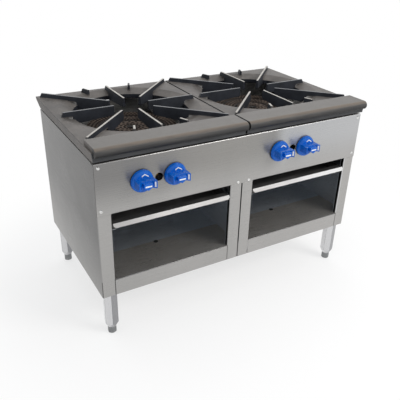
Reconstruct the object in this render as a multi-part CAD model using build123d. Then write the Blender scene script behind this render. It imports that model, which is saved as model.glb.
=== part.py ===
"""Floor-standing stock pot range with two burner sections side by side.

Each section is its own sheet steel cabinet on legs, with an open storage bay, a pull-out drip
tray, a three-ring gas burner and a lift-off cast iron top. One control panel joins both cabinets.
Millimetres, +X to the right, -Y to the front, +Z up; the origin is on the floor, under the
middle of the whole range.
"""
from build123d import *
import math
import os

# ---- cabinet -------------------------------------------------------------------------------
WIDTH = 914.4              # both cabinets side by side
CASE_DEPTH = 489.2         # front face to rear face
CASE_BOTTOM = 152.4        # underside above the floor
CASE_TOP = 569.1           # top of the sheet metal
PANEL_HEIGHT = 151.1       # control panel, down from the top of the sheet metal
SHELF_RISE = 52.7          # floor of the storage bays above the case's underside
SHEET = 1.2                # stainless sheet
STILE_WIDTH = 40.2         # front post folded from each side panel
STILE_RETURN = 15.0        # how far the post's inner edge is folded back
BOTTOM_FLANGE = 20.0
TOP_FLANGE = 15.0
REAR_FLANGE = 12.0
PANEL_TOP_FLANGE = 18.0
PANEL_BOTTOM_FLANGE = 12.0
SHELF_SIDE_FLANGE = 15.0
SHELF_REAR_FLANGE = 32.0
SHELF_HOLE_RADIUS = 6.0
SHELF_HOLE_SETBACK = 128.6  # behind the front face
FOLD_RADIUS = 3.0          # outside of a fold in the sheet
ROLL_RADIUS = 3.0          # rolled top edge of the control panel
JOINT_GAP = 0.3            # between neighbouring sheet edges
VENT_COUNT = 6
VENT_ROWS = 3
VENT_LENGTH = 46.0
VENT_HEIGHT = 7.0
VENT_PITCH_X = 62.0
VENT_PITCH_Z = 20.0
VENT_DROP = 154.0          # lowest vents below the top of the sheet metal

# ---- cast iron tops ------------------------------------------------------------------------
TOP_SIDE_OVERHANG = 3.3    # beyond the side panels
TOP_REAR_OVERHANG = 28.0   # beyond the rear face
TOP_GAP = 4.0              # between the two castings
TOP_LIFT = 3.6             # shadow gap between cabinet and casting skirt
SKIRT_HEIGHT = 29.3
SKIRT_DRAFT = 3.3          # the skirt leans in by this much at its foot
SKIRT_WALL = 7.0
PLATE_THICKNESS = 8.0
LEDGE_HEIGHT = 12.7        # front ledge and fins above the plate
LEDGE_SETBACK = 60.1       # rear edge of the ledge behind the front face
LEDGE_END_INSET = 4.5
NOSE_REACH = 20.4          # bullnose in front of the front face
NOSE_DEPTH = 26.0          # height of the bullnose
APRON_REACH = 4.4          # strip under the bullnose, in front of the front face
APRON_LIFT = 3.0           # lower edge of that strip above the rest of the skirt
GRATE_SETBACK = 288.6      # fin centre behind the front face
DISH_RADIUS = 216.0
HOLE_RADIUS = 179.0
DISH_DEPTH = 12.0
RIM_DEPTH = 25.0           # hole rim below the plate's top
RIM_WALL = 7.0
FIN_THICKNESS = 6.0
FIN_TAPER = 2.9            # the fin's foot is thicker by this much on each side
FIN_INNER_RADIUS = 57.0
CORNER_FIN_INNER_RADIUS = 72.0
FIN_OUTER_RADIUS = 212.0
CORNER_FIN_REACH = 215.0   # along X and along Y from the fin centre
FIN_SLOPE_RUN = 8.0        # how far a fin's outer end slopes
FIN_NOSE_DEPTH = 27.7      # height of a fin's inner end
SHORT_FIN_INNER_RADIUS = 198.0
SHORT_FIN_OUTER_RADIUS = 226.0
SHORT_FIN_TURN = 21.0      # degrees from the Y direction
SHORT_FIN_SINK = 9.0       # how deep a short fin's inner foot reaches below the plate's top
PAD_LENGTH = 30.0
PAD_WIDTH = 8.0
SEAT_GAP = 0.3             # under lift-out and sliding pieces

# ---- burners -------------------------------------------------------------------------------
INNER_RING_RADIUS = 35.0   # middle of the ring's channel
MIDDLE_RING_RADIUS = 80.0
OUTER_RING_RADIUS = 125.0
RING_WIDTH = 38.0
RING_HEIGHT = 24.0
RING_WALL = 4.0
RING_BEVEL = 3.5
RING_DROP = 64.0           # ring tops below the top of the casting's plate
PORT_RADIUS = 1.8
PORT_PITCH = 12.5
PORT_ROW_SPREAD = 9.5      # distance of a port row from the middle of the ring
ARM_WIDTH = 14.0
ARM_HEIGHT = 16.0
VENTURI_RADIUS = 18.0
VENTURI_BORE = 14.0
MOUTH_RADIUS = 27.0
MOUTH_THICKNESS = 3.0
BELL_DRAFT = 15.0          # degrees, from the mouth to the mixer tube
MOUTH_SETBACK = 68.0       # front of the mixer face behind the front face
AIR_HOLE_RADIUS = 5.6
AIR_HOLE_CIRCLE = 16.5
AIR_HOLE_COUNT = 4
SHUTTER_THICKNESS = 1.5
SHUTTER_TAB_WIDTH = 10.0
SHUTTER_TAB_REACH = 7.0
RAIL_OFFSET = 138.0        # burner rails left and right of the burner's centre
RAIL_WIDTH = 20.0
RAIL_HEIGHT = 17.0
RAIL_THICKNESS = 3.0

# ---- controls and gas train ----------------------------------------------------------------
CONTROL_DROP = 70.6        # knob centres below the top of the sheet metal
KNOB_PITCH = 99.0          # the outer ring's knob is this far left of the section's middle
KNOB_REACH = 46.0          # front of the knobs in front of the control panel
KNOB_CLEARANCE = 3.0
KNOB_RADIUS = 33.0
SKIRT_RISE = 6.5
SKIRT_LEAN = 2.0
HUB_RISE = 6.0
HUB_LEAN = 5.5
GRIP_WIDTH = 54.0
GRIP_RISE = 12.0           # top of the grip bar above the knob's middle
GRIP_FALL = 9.0            # its underside below the middle
GRIP_SETBACK = 1.5         # ends of the grip bar behind the shield's front
GRIP_BEVEL = 2.0
SCOOP_DEPTH = 11.0         # finger scoops beside the shield, behind its front
SHIELD_WIDTH = 25.0
SHIELD_RISE = 10.0
SHIELD_FALL = 12.5         # its tip below the knob's middle
SHIELD_SHOULDER = 3.0      # where its sides turn in, below the middle
SHIELD_DRAFT = 1.5         # its foot is wider by this much on each side
GRIP_ROUND = 1.5           # front edge of the shield
STEM_RADIUS = 4.0
STEM_HOLE_RADIUS = 7.0
STEM_DEPTH = 22.0          # how far the stem reaches into the knob
RUNNING_CLEARANCE = 0.05
PILOT_HOLE_RADIUS = 12.0
PILOT_HOLE_OFFSET = 47.0   # left of the section's middle
VALVE_WIDTH = 24.0
VALVE_LENGTH = 34.0
VALVE_HEIGHT = 27.0
VALVE_SETBACK = 15.0
VALVE_CHAMFER = 4.0
BONNET_RADIUS = 9.0
MANIFOLD_RADIUS = 13.35
MANIFOLD_WALL = 2.9
MANIFOLD_DROP = 38.5       # manifold's centre below the valves' centre
NIPPLE_RADIUS = 7.0
NIPPLE_DEPTH = 5.0
SPUD_RADIUS = 5.0
SPUD_LENGTH = 28.0
SPUD_SHANK_RADIUS = 4.0
SPUD_SHANK_LENGTH = 6.0
SPUD_COLLAR_RADIUS = 7.0   # half the distance across its flats
SPUD_COLLAR_LENGTH = 8.0
ORIFICE_RADIUS = 1.0
INLET_X_INSET = 30.0       # inlet pipe's centre from the right side
INLET_SHOULDER = 4.0       # full-size pipe that stands out of the rear panel
INLET_THREAD_LENGTH = 20.0
INLET_THREAD_RADIUS = 13.1
ELBOW_RADIUS = 17.0
ELBOW_BEND = 20.0
ELBOW_REACH = 28.0         # from the corner to either end
PILOT_VALVE_RADIUS = 7.0
PILOT_VALVE_RISE = 44.0
PILOT_NECK_RADIUS = 5.0
PILOT_NECK_FRONT = 14.0    # adjusting screw's end in front of the manifold's centre
PILOT_NECK_REAR = 11.0     # tube's end behind the manifold's centre
PILOT_TUBE_RADIUS = 3.0
PILOT_OUTLET_DROP = 14.0   # tube's end below the adjusting screw
PILOT_RISE = 2.0           # pilot tip above the ring tops
PILOT_TIP_RADIUS = 3.2
PILOT_BEND = 18.0
BRACKET_WIDTH = 14.0
BRACKET_THICKNESS = 1.5

# ---- drip trays ----------------------------------------------------------------------------
TRAY_DROP = 31.0           # tray's top below the control panel's lower edge
TRAY_HEIGHT = 28.0
TRAY_DEPTH = 424.0         # outside length of the pan
TRAY_SHEET = 1.2
TRAY_FLANGE = 20.0         # level flange between the lip and the pan
TRAY_SIDE_GAP = 4.5        # tray body to post
LIP_SIDE_GAP = 3.0
LIP_REACH = 5.6            # lower edge of the slanted lip in front of the case
LIP_DROP = 11.0
LIP_MITRE = 5.0            # cut corners of the lip
RUNNER_OVERLAP = 14.0
RUNNER_THICKNESS = 2.0
RUNNER_HEIGHT = 26.0
RUNNER_END_GAP = 20.0

# ---- legs ----------------------------------------------------------------------------------
LEG_SIDE_INSET = 29.5
LEG_FRONT_INSET = 26.0
LEG_ACROSS_FLATS = 38.0
LEG_TWIST = 20.0           # degrees
LEG_FOOT_Z = 25.0          # lower end of the leg, above the floor
LEG_CONE_HEIGHT = 17.0
LEG_CONE_RADIUS = 13.5
LEG_STUD_RADIUS = 6.35
LEG_BORE_DEPTH = 70.0
LEG_PLATE_SIZE = 78.0
LEG_PLATE_THICKNESS = 4.0
FOOT_RADIUS = 12.25
FOOT_STEM_RADIUS = 6.0
FOOT_STEM_LENGTH = 55.0
FOOT_CHAMFER = 3.0
FOOT_NECK = 5.0            # height of the coned upper end

# ---- fasteners -----------------------------------------------------------------------------
SCREW_HEAD_RADIUS = 5.2
SCREW_HEAD_HEIGHT = 2.4
SCREW_HEAD_DRAFT = 30.0    # degrees
RECESS_RADIUS = 2.4        # cross recess in a screw's head
RECESS_WIDTH = 1.1
RECESS_DEPTH = 1.1
SCREW_SHANK_RADIUS = 1.9
SCREW_LENGTH = 9.0
SCREW_INSET = 12.0         # panel screws from the range's ends
SCREW_LOW = 14.5           # lower panel screws above the panel's lower edge
SCREW_HIGH = 12.0          # upper panel screws below the panel's top
SEAM_SCREWS_X = (-14.7, 23.8)
SEAM_SCREW_LOW = 6.3
BACK_SCREW_INSET = 12.5    # end screws from the case's top and underside
BOLT_RADIUS = 3.0
BOLT_HEAD_RADIUS = 5.5
BOLT_HEAD_HEIGHT = 4.0
BOLT_INSET = 60.0
BOLT_RISE = 27.0           # lower bolts above the case's underside
BOLT_DROP = 48.7           # upper bolts below the top of the sheet metal
HOLE_CLEARANCE = 0.25
NEAR = 0.02                # tolerance for picking an edge by its place

# ---- places that follow from the sizes above -----------------------------------------------
HALF = WIDTH / 2
SECTION_X = WIDTH / 4
FRONT = KNOB_REACH - (KNOB_REACH + CASE_DEPTH + TOP_REAR_OVERHANG) / 2
BACK = FRONT + CASE_DEPTH
BURNER_Y = FRONT + GRATE_SETBACK
PANEL_BOTTOM = CASE_TOP - PANEL_HEIGHT
SHELF_TOP = CASE_BOTTOM + SHELF_RISE
SKIRT_BOTTOM = CASE_TOP + TOP_LIFT
PLATE_TOP = SKIRT_BOTTOM + SKIRT_HEIGHT
FIN_TOP = PLATE_TOP + LEDGE_HEIGHT
RING_TOP = PLATE_TOP - RING_DROP
RING_BOTTOM = RING_TOP - RING_HEIGHT
RING_RADII = (INNER_RING_RADIUS, MIDDLE_RING_RADIUS, OUTER_RING_RADIUS)
PILOT_TOP = RING_TOP + PILOT_RISE
CONTROL_Z = CASE_TOP - CONTROL_DROP
MANIFOLD_Z = CONTROL_Z - MANIFOLD_DROP
MANIFOLD_Y = FRONT + VALVE_SETBACK + VALVE_LENGTH / 2
INLET_X = HALF - INLET_X_INSET
LEG_X = HALF - LEG_SIDE_INSET
LEG_Y = (FRONT + LEG_FRONT_INSET, BACK - LEG_FRONT_INSET)
TRAY_TOP = PANEL_BOTTOM - TRAY_DROP
TRAY_BOTTOM = TRAY_TOP - TRAY_HEIGHT
RUNNER_TOP = TRAY_BOTTOM - SEAT_GAP
SIDES = {"left": -1, "right": 1}


# ---- small helpers -------------------------------------------------------------------------
def block(x, y, z):
    """A box between two values along each axis."""
    centre = Pos((x[0] + x[1]) / 2, (y[0] + y[1]) / 2, (z[0] + z[1]) / 2)
    return centre * Box(abs(x[1] - x[0]), abs(y[1] - y[0]), abs(z[1] - z[0]))


def rod(radius, start, end):
    """A round bar between two points."""
    run = Vector(*end) - Vector(*start)
    return extrude(Plane(origin=start, z_dir=run) * Circle(radius), run.length)


def prism_x(points, x):
    """A closed outline of (y, z) points, extruded along X between two values."""
    outline = Polyline(*[(x[0], y, z) for y, z in points], close=True)
    return extrude(make_face(outline), x[1] - x[0], dir=(1, 0, 0))


def turned(points):
    """A solid of revolution from its (radius, height) outline."""
    return revolve(make_face(Polyline(*[(r, 0, z) for r, z in points], close=True)), Axis.Z)


def edges_along(part, axis, **place):
    """The straight edges along an axis whose middle lies at the given x, y or z."""
    chosen = part.edges().filter_by(axis)
    for name, value in place.items():
        letter = name.upper()
        chosen = chosen.filter_by(lambda edge, at=letter, v=value: abs(getattr(edge.center(), at) - v) < NEAR)
    return chosen


def mirrored(part, side):
    """The right-hand piece for side 1, or its mirror image for side -1."""
    return part if side > 0 else mirror(part, about=Plane.YZ)


def panel_screw_places():
    """(x, z) of the control panel's screws."""
    edge = HALF - SCREW_INSET
    low = PANEL_BOTTOM + SCREW_LOW
    high = CASE_TOP - SCREW_HIGH
    corners = [(side * edge, z) for side in (-1, 1) for z in (low, high)]
    return corners + [(x, PANEL_BOTTOM + SEAM_SCREW_LOW) for x in SEAM_SCREWS_X]


def back_screw_places():
    """(x, z) of the rear panels' screws."""
    inset = REAR_FLANGE / 2
    low, high = CASE_BOTTOM + BACK_SCREW_INSET, CASE_TOP - BACK_SCREW_INSET
    heights = (low, (low + high) / 2, high)
    return [(side * x, z) for side in (-1, 1) for x in (inset, HALF - inset) for z in heights]


def bolt_places():
    """(y, z) of the bolts that join the two cabinets."""
    heights = (CASE_BOTTOM + BOLT_RISE, CASE_TOP - BOLT_DROP)
    return [(y, z) for y in (FRONT + BOLT_INSET, BACK - BOLT_INSET) for z in heights]


def knob_places():
    """Section name, control name and x of every knob."""
    return [(name, control, side * SECTION_X + offset)
            for name, side in SIDES.items()
            for control, offset in (("outer", -KNOB_PITCH), ("inner", 0.0))]


# ---- cabinets ------------------------------------------------------------------------------
def folded(part, axis, inside, outside):
    """Round a fold of the sheet, at its inner and its outer edge."""
    part = fillet(edges_along(part, axis, **inside), FOLD_RADIUS - SHEET)
    return fillet(edges_along(part, axis, **outside), FOLD_RADIUS)


def front_post(z):
    """The post folded from a side panel that stands at x = 0."""
    front = (FRONT, FRONT + SHEET)
    post = block((0, STILE_WIDTH), front, z)
    post += block((0, SHEET), (FRONT, FRONT + 2 * FOLD_RADIUS), z)
    post += block((STILE_WIDTH - SHEET, STILE_WIDTH), (FRONT, FRONT + STILE_RETURN), z)
    post = folded(post, Axis.Z, {"x": SHEET, "y": front[1]}, {"x": 0, "y": FRONT})
    return folded(post, Axis.Z, {"x": STILE_WIDTH - SHEET, "y": front[1]}, {"x": STILE_WIDTH, "y": FRONT})


def side_panel():
    """A side panel with its front post, standing at x = 0 with its flanges towards +X."""
    below_flange = CASE_TOP - ROLL_RADIUS - JOINT_GAP
    post_top = PANEL_BOTTOM - JOINT_GAP
    behind_panel = (FRONT + SHEET, FRONT + 2 * SHEET)
    panel = front_post((CASE_BOTTOM, post_top))
    panel += block((0, SHEET), (FRONT + FOLD_RADIUS, BACK - SHEET), (CASE_BOTTOM, post_top))
    panel += block((0, SHEET), (FRONT + SHEET + JOINT_GAP, BACK - SHEET), (post_top, below_flange))
    panel += block((0, STILE_WIDTH), behind_panel, (post_top, below_flange))
    panel += block((FOLD_RADIUS, STILE_WIDTH - FOLD_RADIUS), behind_panel,
                   (PANEL_BOTTOM - SHEET, PANEL_BOTTOM))
    panel += block((0, BOTTOM_FLANGE), (FRONT + FOLD_RADIUS, BACK - SHEET),
                   (CASE_BOTTOM, CASE_BOTTOM + SHEET))
    panel += block((0, REAR_FLANGE), (BACK - 2 * SHEET, BACK - SHEET), (CASE_BOTTOM, CASE_TOP))
    top_y = (FRONT + PANEL_TOP_FLANGE + JOINT_GAP, BACK - SHEET)
    panel += block((0, TOP_FLANGE), top_y, (CASE_TOP - SHEET, CASE_TOP))
    return panel + block((0, SHEET), top_y, (below_flange - SHEET, CASE_TOP))


def cut_screws(part, places, y, radius):
    """Drill holes along Y at the given (x, z) places."""
    return part - [rod(radius, (x, y[0], z), (x, y[1], z)) for x, z in places]


def side_panels():
    """Outer and inner side panel of each cabinet, drilled for their fasteners."""
    plain = side_panel()
    radius = SCREW_SHANK_RADIUS + HOLE_CLEARANCE
    made = {}
    for name, side in SIDES.items():
        outer = mirrored(Pos(HALF, 0, 0) * mirror(plain, about=Plane.YZ), side)
        inner = mirrored(plain, side)
        for y, z in bolt_places():
            inner -= rod(BOLT_RADIUS + HOLE_CLEARANCE, (-HALF, y, z), (HALF, y, z))
        pipe_hole = MANIFOLD_RADIUS + 2 * SHEET
        inner -= rod(pipe_hole, (-HALF, MANIFOLD_Y, MANIFOLD_Z), (HALF, MANIFOLD_Y, MANIFOLD_Z))
        for kind, panel in (("outer", outer), ("inner", inner)):
            panel = cut_screws(panel, panel_screw_places(), (FRONT, FRONT + STILE_RETURN), radius)
            panel = cut_screws(panel, back_screw_places(), (BACK - STILE_RETURN, BACK), radius)
            made[f"{kind}_side_{name}"] = panel
    return made


def bottom_shelf():
    """Right-hand bay floor with its front rail folded down between the posts."""
    x_full = (SHEET, HALF - SHEET)
    x_rail = (STILE_WIDTH + JOINT_GAP, HALF - STILE_WIDTH - JOINT_GAP)
    rear = BACK - 2 * SHEET - JOINT_GAP
    behind_posts = FRONT + STILE_RETURN + JOINT_GAP
    level = (SHELF_TOP - SHEET, SHELF_TOP)
    shelf = block(x_full, (behind_posts, rear), level)
    shelf += block(x_rail, (FRONT, rear), level)
    shelf += block(x_rail, (FRONT, FRONT + SHEET), (CASE_BOTTOM, SHELF_TOP))
    shelf += block(x_rail, (FRONT, FRONT + BOTTOM_FLANGE), (CASE_BOTTOM, CASE_BOTTOM + SHEET))
    shelf += block(x_full, (rear - SHEET, rear), (SHELF_TOP - SHELF_REAR_FLANGE, SHELF_TOP))
    for x in ((x_full[0], x_full[0] + SHEET), (x_full[1] - SHEET, x_full[1])):
        shelf += block(x, (behind_posts, rear), (SHELF_TOP - SHELF_SIDE_FLANGE, SHELF_TOP))
    hole_y = FRONT + SHELF_HOLE_SETBACK
    shelf -= rod(SHELF_HOLE_RADIUS, (SECTION_X, hole_y, CASE_BOTTOM), (SECTION_X, hole_y, CASE_TOP))
    return folded(shelf, Axis.X, {"y": FRONT + SHEET, "z": SHELF_TOP - SHEET}, {"y": FRONT, "z": SHELF_TOP})


def back_panel():
    """Right-hand rear panel with its rows of vent slots."""
    panel = block((JOINT_GAP, HALF), (BACK - SHEET, BACK), (CASE_BOTTOM, CASE_TOP))
    slot = SlotOverall(VENT_LENGTH, VENT_HEIGHT)
    slots = []
    for row in range(VENT_ROWS):
        for column in range(VENT_COUNT):
            x = SECTION_X + (column - (VENT_COUNT - 1) / 2) * VENT_PITCH_X
            z = CASE_TOP - VENT_DROP + row * VENT_PITCH_Z
            face = Plane(origin=(x, BACK + SHEET, z), x_dir=(1, 0, 0), z_dir=(0, -1, 0)) * slot
            slots.append(extrude(face, 3 * SHEET))
    return panel - slots


def back_panels():
    """Both rear panels, the right one with the gas inlet's hole."""
    plain = back_panel()
    made = {}
    for name, side in SIDES.items():
        panel = mirrored(plain, side)
        panel = cut_screws(panel, back_screw_places(), (BACK - 2 * SHEET, BACK + SHEET),
                           SCREW_SHANK_RADIUS + HOLE_CLEARANCE)
        if side > 0:
            hole = MANIFOLD_RADIUS + 2 * SHEET
            panel -= rod(hole, (INLET_X, BACK - 2 * SHEET, MANIFOLD_Z), (INLET_X, BACK + SHEET, MANIFOLD_Z))
        made[f"back_panel_{name}"] = panel
    return made


def panel_foot(x):
    """The control panel's lower end above an opening, folded back into a flange."""
    foot = block(x, (FRONT, FRONT + SHEET), (PANEL_BOTTOM, PANEL_BOTTOM + 2 * FOLD_RADIUS))
    foot += block(x, (FRONT, FRONT + PANEL_BOTTOM_FLANGE), (PANEL_BOTTOM, PANEL_BOTTOM + SHEET))
    inside = {"y": FRONT + SHEET, "z": PANEL_BOTTOM + SHEET}
    return folded(foot, Axis.X, inside, {"y": FRONT, "z": PANEL_BOTTOM})


def control_panel():
    """The full-width control panel, rolled at its top edge and folded back above each opening."""
    panel = block((-HALF, HALF), (FRONT, FRONT + SHEET), (PANEL_BOTTOM, CASE_TOP))
    panel += block((-HALF, HALF), (FRONT, FRONT + PANEL_TOP_FLANGE), (CASE_TOP - SHEET, CASE_TOP))
    panel = fillet(edges_along(panel, Axis.X, y=FRONT + SHEET, z=CASE_TOP - SHEET), ROLL_RADIUS - SHEET)
    panel = fillet(edges_along(panel, Axis.X, y=FRONT, z=CASE_TOP), ROLL_RADIUS)
    for side in (-1, 1):
        x = (side * (STILE_WIDTH + JOINT_GAP), side * (HALF - STILE_WIDTH - JOINT_GAP))
        panel -= block(x, (FRONT, FRONT + SHEET), (PANEL_BOTTOM, PANEL_BOTTOM + 2 * FOLD_RADIUS))
        panel += panel_foot((min(x), max(x)))
    depth = (FRONT - SHEET, FRONT + 2 * SHEET)
    panel = cut_screws(panel, panel_screw_places(), depth, SCREW_SHANK_RADIUS + HOLE_CLEARANCE)
    panel = cut_screws(panel, [(x, CONTROL_Z) for _, _, x in knob_places()], depth, STEM_HOLE_RADIUS)
    pilots = [(side * SECTION_X - PILOT_HOLE_OFFSET, CONTROL_Z) for side in SIDES.values()]
    return cut_screws(panel, pilots, depth, PILOT_HOLE_RADIUS)


# ---- cast iron top -------------------------------------------------------------------------
def fin(inner, outer, angle):
    """One radial pot support with a sloped outer end and a web that deepens towards the rim."""
    low = PLATE_TOP - RIM_DEPTH
    nose = FIN_TOP - FIN_NOSE_DEPTH
    in_plate = PLATE_TOP - PLATE_THICKNESS / 2
    in_rim = HOLE_RADIUS + RIM_WALL / 2
    points = [(inner, FIN_TOP), (outer, FIN_TOP), (outer + FIN_SLOPE_RUN, in_plate)]
    if inner < HOLE_RADIUS:
        points += [(in_rim, in_plate), (in_rim, low), (inner, nose)]
    else:
        points += [(DISH_RADIUS, in_plate), (inner, PLATE_TOP - SHORT_FIN_SINK)]
    outline = make_face(Polyline(*[(r, 0, z) for r, z in points], close=True))
    blade = extrude(outline, FIN_THICKNESS / 2 + FIN_TAPER, dir=(0, 1, 0), both=True)
    run = outer + 2 * FIN_SLOPE_RUN
    foot = FIN_THICKNESS / 2 + FIN_TAPER
    crown = FIN_THICKNESS / 2
    section = Polyline((0, -foot, low), (0, foot, low), (0, crown, FIN_TOP), (0, -crown, FIN_TOP), close=True)
    taper = extrude(make_face(section), run, dir=(1, 0, 0))
    return Rot(0, 0, angle) * (blade & taper)


def rim_ring():
    """The dished ring around the burner hole."""
    low = PLATE_TOP - RIM_DEPTH
    plate_bottom = PLATE_TOP - PLATE_THICKNESS
    outer = DISH_RADIUS + RIM_WALL
    return turned([(HOLE_RADIUS, low), (HOLE_RADIUS, PLATE_TOP - DISH_DEPTH), (DISH_RADIUS, PLATE_TOP),
                   (outer, PLATE_TOP), (outer, plate_bottom), (DISH_RADIUS, plate_bottom),
                   (HOLE_RADIUS + RIM_WALL, low)])


def top_shell(x):
    """Plate, skirt, ledge and bullnose of the right-hand casting, open underneath."""
    rear = BACK + TOP_REAR_OVERHANG
    apron = FRONT - APRON_REACH
    plate_bottom = PLATE_TOP - PLATE_THICKNESS
    body = prism_x([(apron, SKIRT_BOTTOM), (apron, PLATE_TOP), (rear, PLATE_TOP), (rear, plate_bottom),
                    (BACK, SKIRT_BOTTOM)], x)
    slope = math.degrees(math.atan2(SKIRT_DRAFT, SKIRT_HEIGHT))
    beyond_skirt = block((0, SKIRT_HEIGHT), (-WIDTH, WIDTH), (-WIDTH, WIDTH))
    body -= Pos(x[1], 0, PLATE_TOP) * Rot(0, slope, 0) * beyond_skirt
    cavity_y = (apron + SKIRT_WALL, BACK - SKIRT_WALL)
    body -= block((x[0] + SKIRT_WALL, x[1] - SKIRT_DRAFT - SKIRT_WALL), cavity_y, (0, plate_bottom))
    body -= block(x, (apron - SHEET, apron + SKIRT_WALL), (0, SKIRT_BOTTOM + APRON_LIFT))
    return body + ledge((x[0], x[1] - LEDGE_END_INSET))


def ledge(x):
    """The raised front ledge, rounded over at the front into a bullnose."""
    rear = FRONT + LEDGE_SETBACK
    front = FRONT - NOSE_REACH
    low = FIN_TOP - NOSE_DEPTH
    apron = FRONT - APRON_REACH + SKIRT_WALL
    half = NOSE_DEPTH / 2
    in_plate = PLATE_TOP - PLATE_THICKNESS / 2
    start = (x[0], front + half, FIN_TOP)
    tip = (x[0], front, FIN_TOP - half)
    end = (x[0], front + half, low)
    outline = [Line((x[0], rear, FIN_TOP), start),
               ThreePointArc(start, round_point(x[0], front, half), tip),
               ThreePointArc(tip, round_point(x[0], front, half, low=True), end),
               Polyline(end, (x[0], apron, low), (x[0], apron, in_plate), (x[0], rear, in_plate),
                        (x[0], rear, FIN_TOP))]
    return extrude(make_face(outline), x[1] - x[0], dir=(1, 0, 0))


def round_point(x, front, half, low=False):
    """The middle of the bullnose's upper or lower quarter round."""
    part = half * (1 - math.sqrt(0.5))
    rise = half * math.sqrt(0.5)
    z = FIN_TOP - half + (-rise if low else rise)
    return (x, front + part, z)


def top_casting():
    """The right-hand cast iron top with its fins, dish and skirt."""
    x = (TOP_GAP / 2, HALF + TOP_SIDE_OVERHANG)
    centre = Pos(SECTION_X, BURNER_Y, 0)
    casting = top_shell(x)
    bore = Cylinder(DISH_RADIUS, 4 * SKIRT_HEIGHT)
    casting -= centre * Pos(0, 0, PLATE_TOP) * bore
    casting += centre * rim_ring()
    diagonal = CORNER_FIN_REACH * math.sqrt(2)
    for turn in range(4):
        casting += centre * fin(FIN_INNER_RADIUS, FIN_OUTER_RADIUS, 90 * turn)
        casting += centre * fin(CORNER_FIN_INNER_RADIUS, diagonal, 45 + 90 * turn)
    for side in (-1, 1):
        for angle in (90 - side * SHORT_FIN_TURN, -90 + side * SHORT_FIN_TURN):
            casting += centre * fin(SHORT_FIN_INNER_RADIUS, SHORT_FIN_OUTER_RADIUS, angle)
    for y in (FRONT + 2 * PAD_LENGTH, BACK - 2 * PAD_LENGTH):
        for pad_x in ((x[0], x[0] + PAD_WIDTH), (HALF - PAD_WIDTH - SHEET, HALF - SHEET)):
            casting += block(pad_x, (y - PAD_LENGTH / 2, y + PAD_LENGTH / 2),
                             (CASE_TOP + SEAT_GAP, SKIRT_BOTTOM + SHEET))
    return casting


# ---- burners -------------------------------------------------------------------------------
def ring(radius, width, bottom, top, bevel=0.0):
    """A ring around the burner's centre, its upper edges bevelled."""
    inner, outer = radius - width / 2, radius + width / 2
    outline = [(inner, bottom), (outer, bottom), (outer, top - bevel)]
    if bevel:
        outline += [(outer - bevel, top), (inner + bevel, top)]
    outline.append((inner, top - bevel))
    return turned(outline)


def burner_ports():
    """Drills for the flame ports, two rows on every ring."""
    drills = []
    for radius in RING_RADII:
        for row in (-1, 1):
            circle = radius + row * PORT_ROW_SPREAD
            count = int(2 * math.pi * circle / PORT_PITCH)
            for index in range(count):
                angle = 2 * math.pi * (index + 0.25 * row) / count
                x, y = circle * math.cos(angle), circle * math.sin(angle)
                drills.append(rod(PORT_RADIUS, (x, y, RING_TOP - RING_HEIGHT / 2), (x, y, RING_TOP + 1)))
    return drills


def mixer_face(radius, thickness, hole, x, y):
    """A round plate with a ring of air holes and a middle hole, its front face at y."""
    face = rod(radius, (x, y, CONTROL_Z), (x, y + thickness, CONTROL_Z))
    face -= rod(hole, (x, y - 1, CONTROL_Z), (x, y + thickness + 1, CONTROL_Z))
    for index in range(AIR_HOLE_COUNT):
        angle = 2 * math.pi * (index + 0.5) / AIR_HOLE_COUNT
        hx = x + AIR_HOLE_CIRCLE * math.cos(angle)
        hz = CONTROL_Z + AIR_HOLE_CIRCLE * math.sin(angle)
        face -= rod(AIR_HOLE_RADIUS, (hx, y - 1, hz), (hx, y + thickness + 1, hz))
    return face


def burner_arms():
    """Arms that join the rings, and the gas passages inside them from the inner to the middle ring."""
    arms = []
    passages = []
    inside = ARM_WIDTH / 2 - RING_WALL
    for turn in range(4):
        place = Rot(0, 0, 45 + 90 * turn)
        arms.append(place * block((INNER_RING_RADIUS, OUTER_RING_RADIUS), (-ARM_WIDTH / 2, ARM_WIDTH / 2),
                                  (RING_BOTTOM, RING_BOTTOM + ARM_HEIGHT)))
        passages.append(place * block((INNER_RING_RADIUS, MIDDLE_RING_RADIUS), (-inside, inside),
                                      (RING_BOTTOM + RING_WALL, RING_BOTTOM + ARM_HEIGHT - RING_WALL)))
    return arms, passages


def mixer_tube(x, y, mouth):
    """A mixer tube with its bell mouth, up into the ring above (x, y), and its bores."""
    wall_top = RING_BOTTOM + RING_WALL
    bell = Plane(origin=(x, mouth, CONTROL_Z), z_dir=(0, 1, 0)) * Circle(MOUTH_RADIUS)
    behind_face = (x, mouth + MOUTH_THICKNESS, CONTROL_Z)
    cup_radius = MOUTH_RADIUS - RING_WALL
    cup = Plane(origin=behind_face, z_dir=(0, 1, 0)) * Circle(cup_radius)
    tube = [rod(VENTURI_RADIUS, (x, mouth, CONTROL_Z), (x, y + VENTURI_RADIUS, CONTROL_Z)),
            rod(VENTURI_RADIUS, (x, y, CONTROL_Z), (x, y, wall_top)),
            extrude(bell, MOUTH_RADIUS, taper=BELL_DRAFT)]
    bores = [rod(VENTURI_BORE, behind_face, (x, y, CONTROL_Z)),
             rod(VENTURI_BORE, (x, y, CONTROL_Z), (x, y, wall_top)),
             extrude(cup, cup_radius, taper=BELL_DRAFT)]
    return tube, bores


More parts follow.
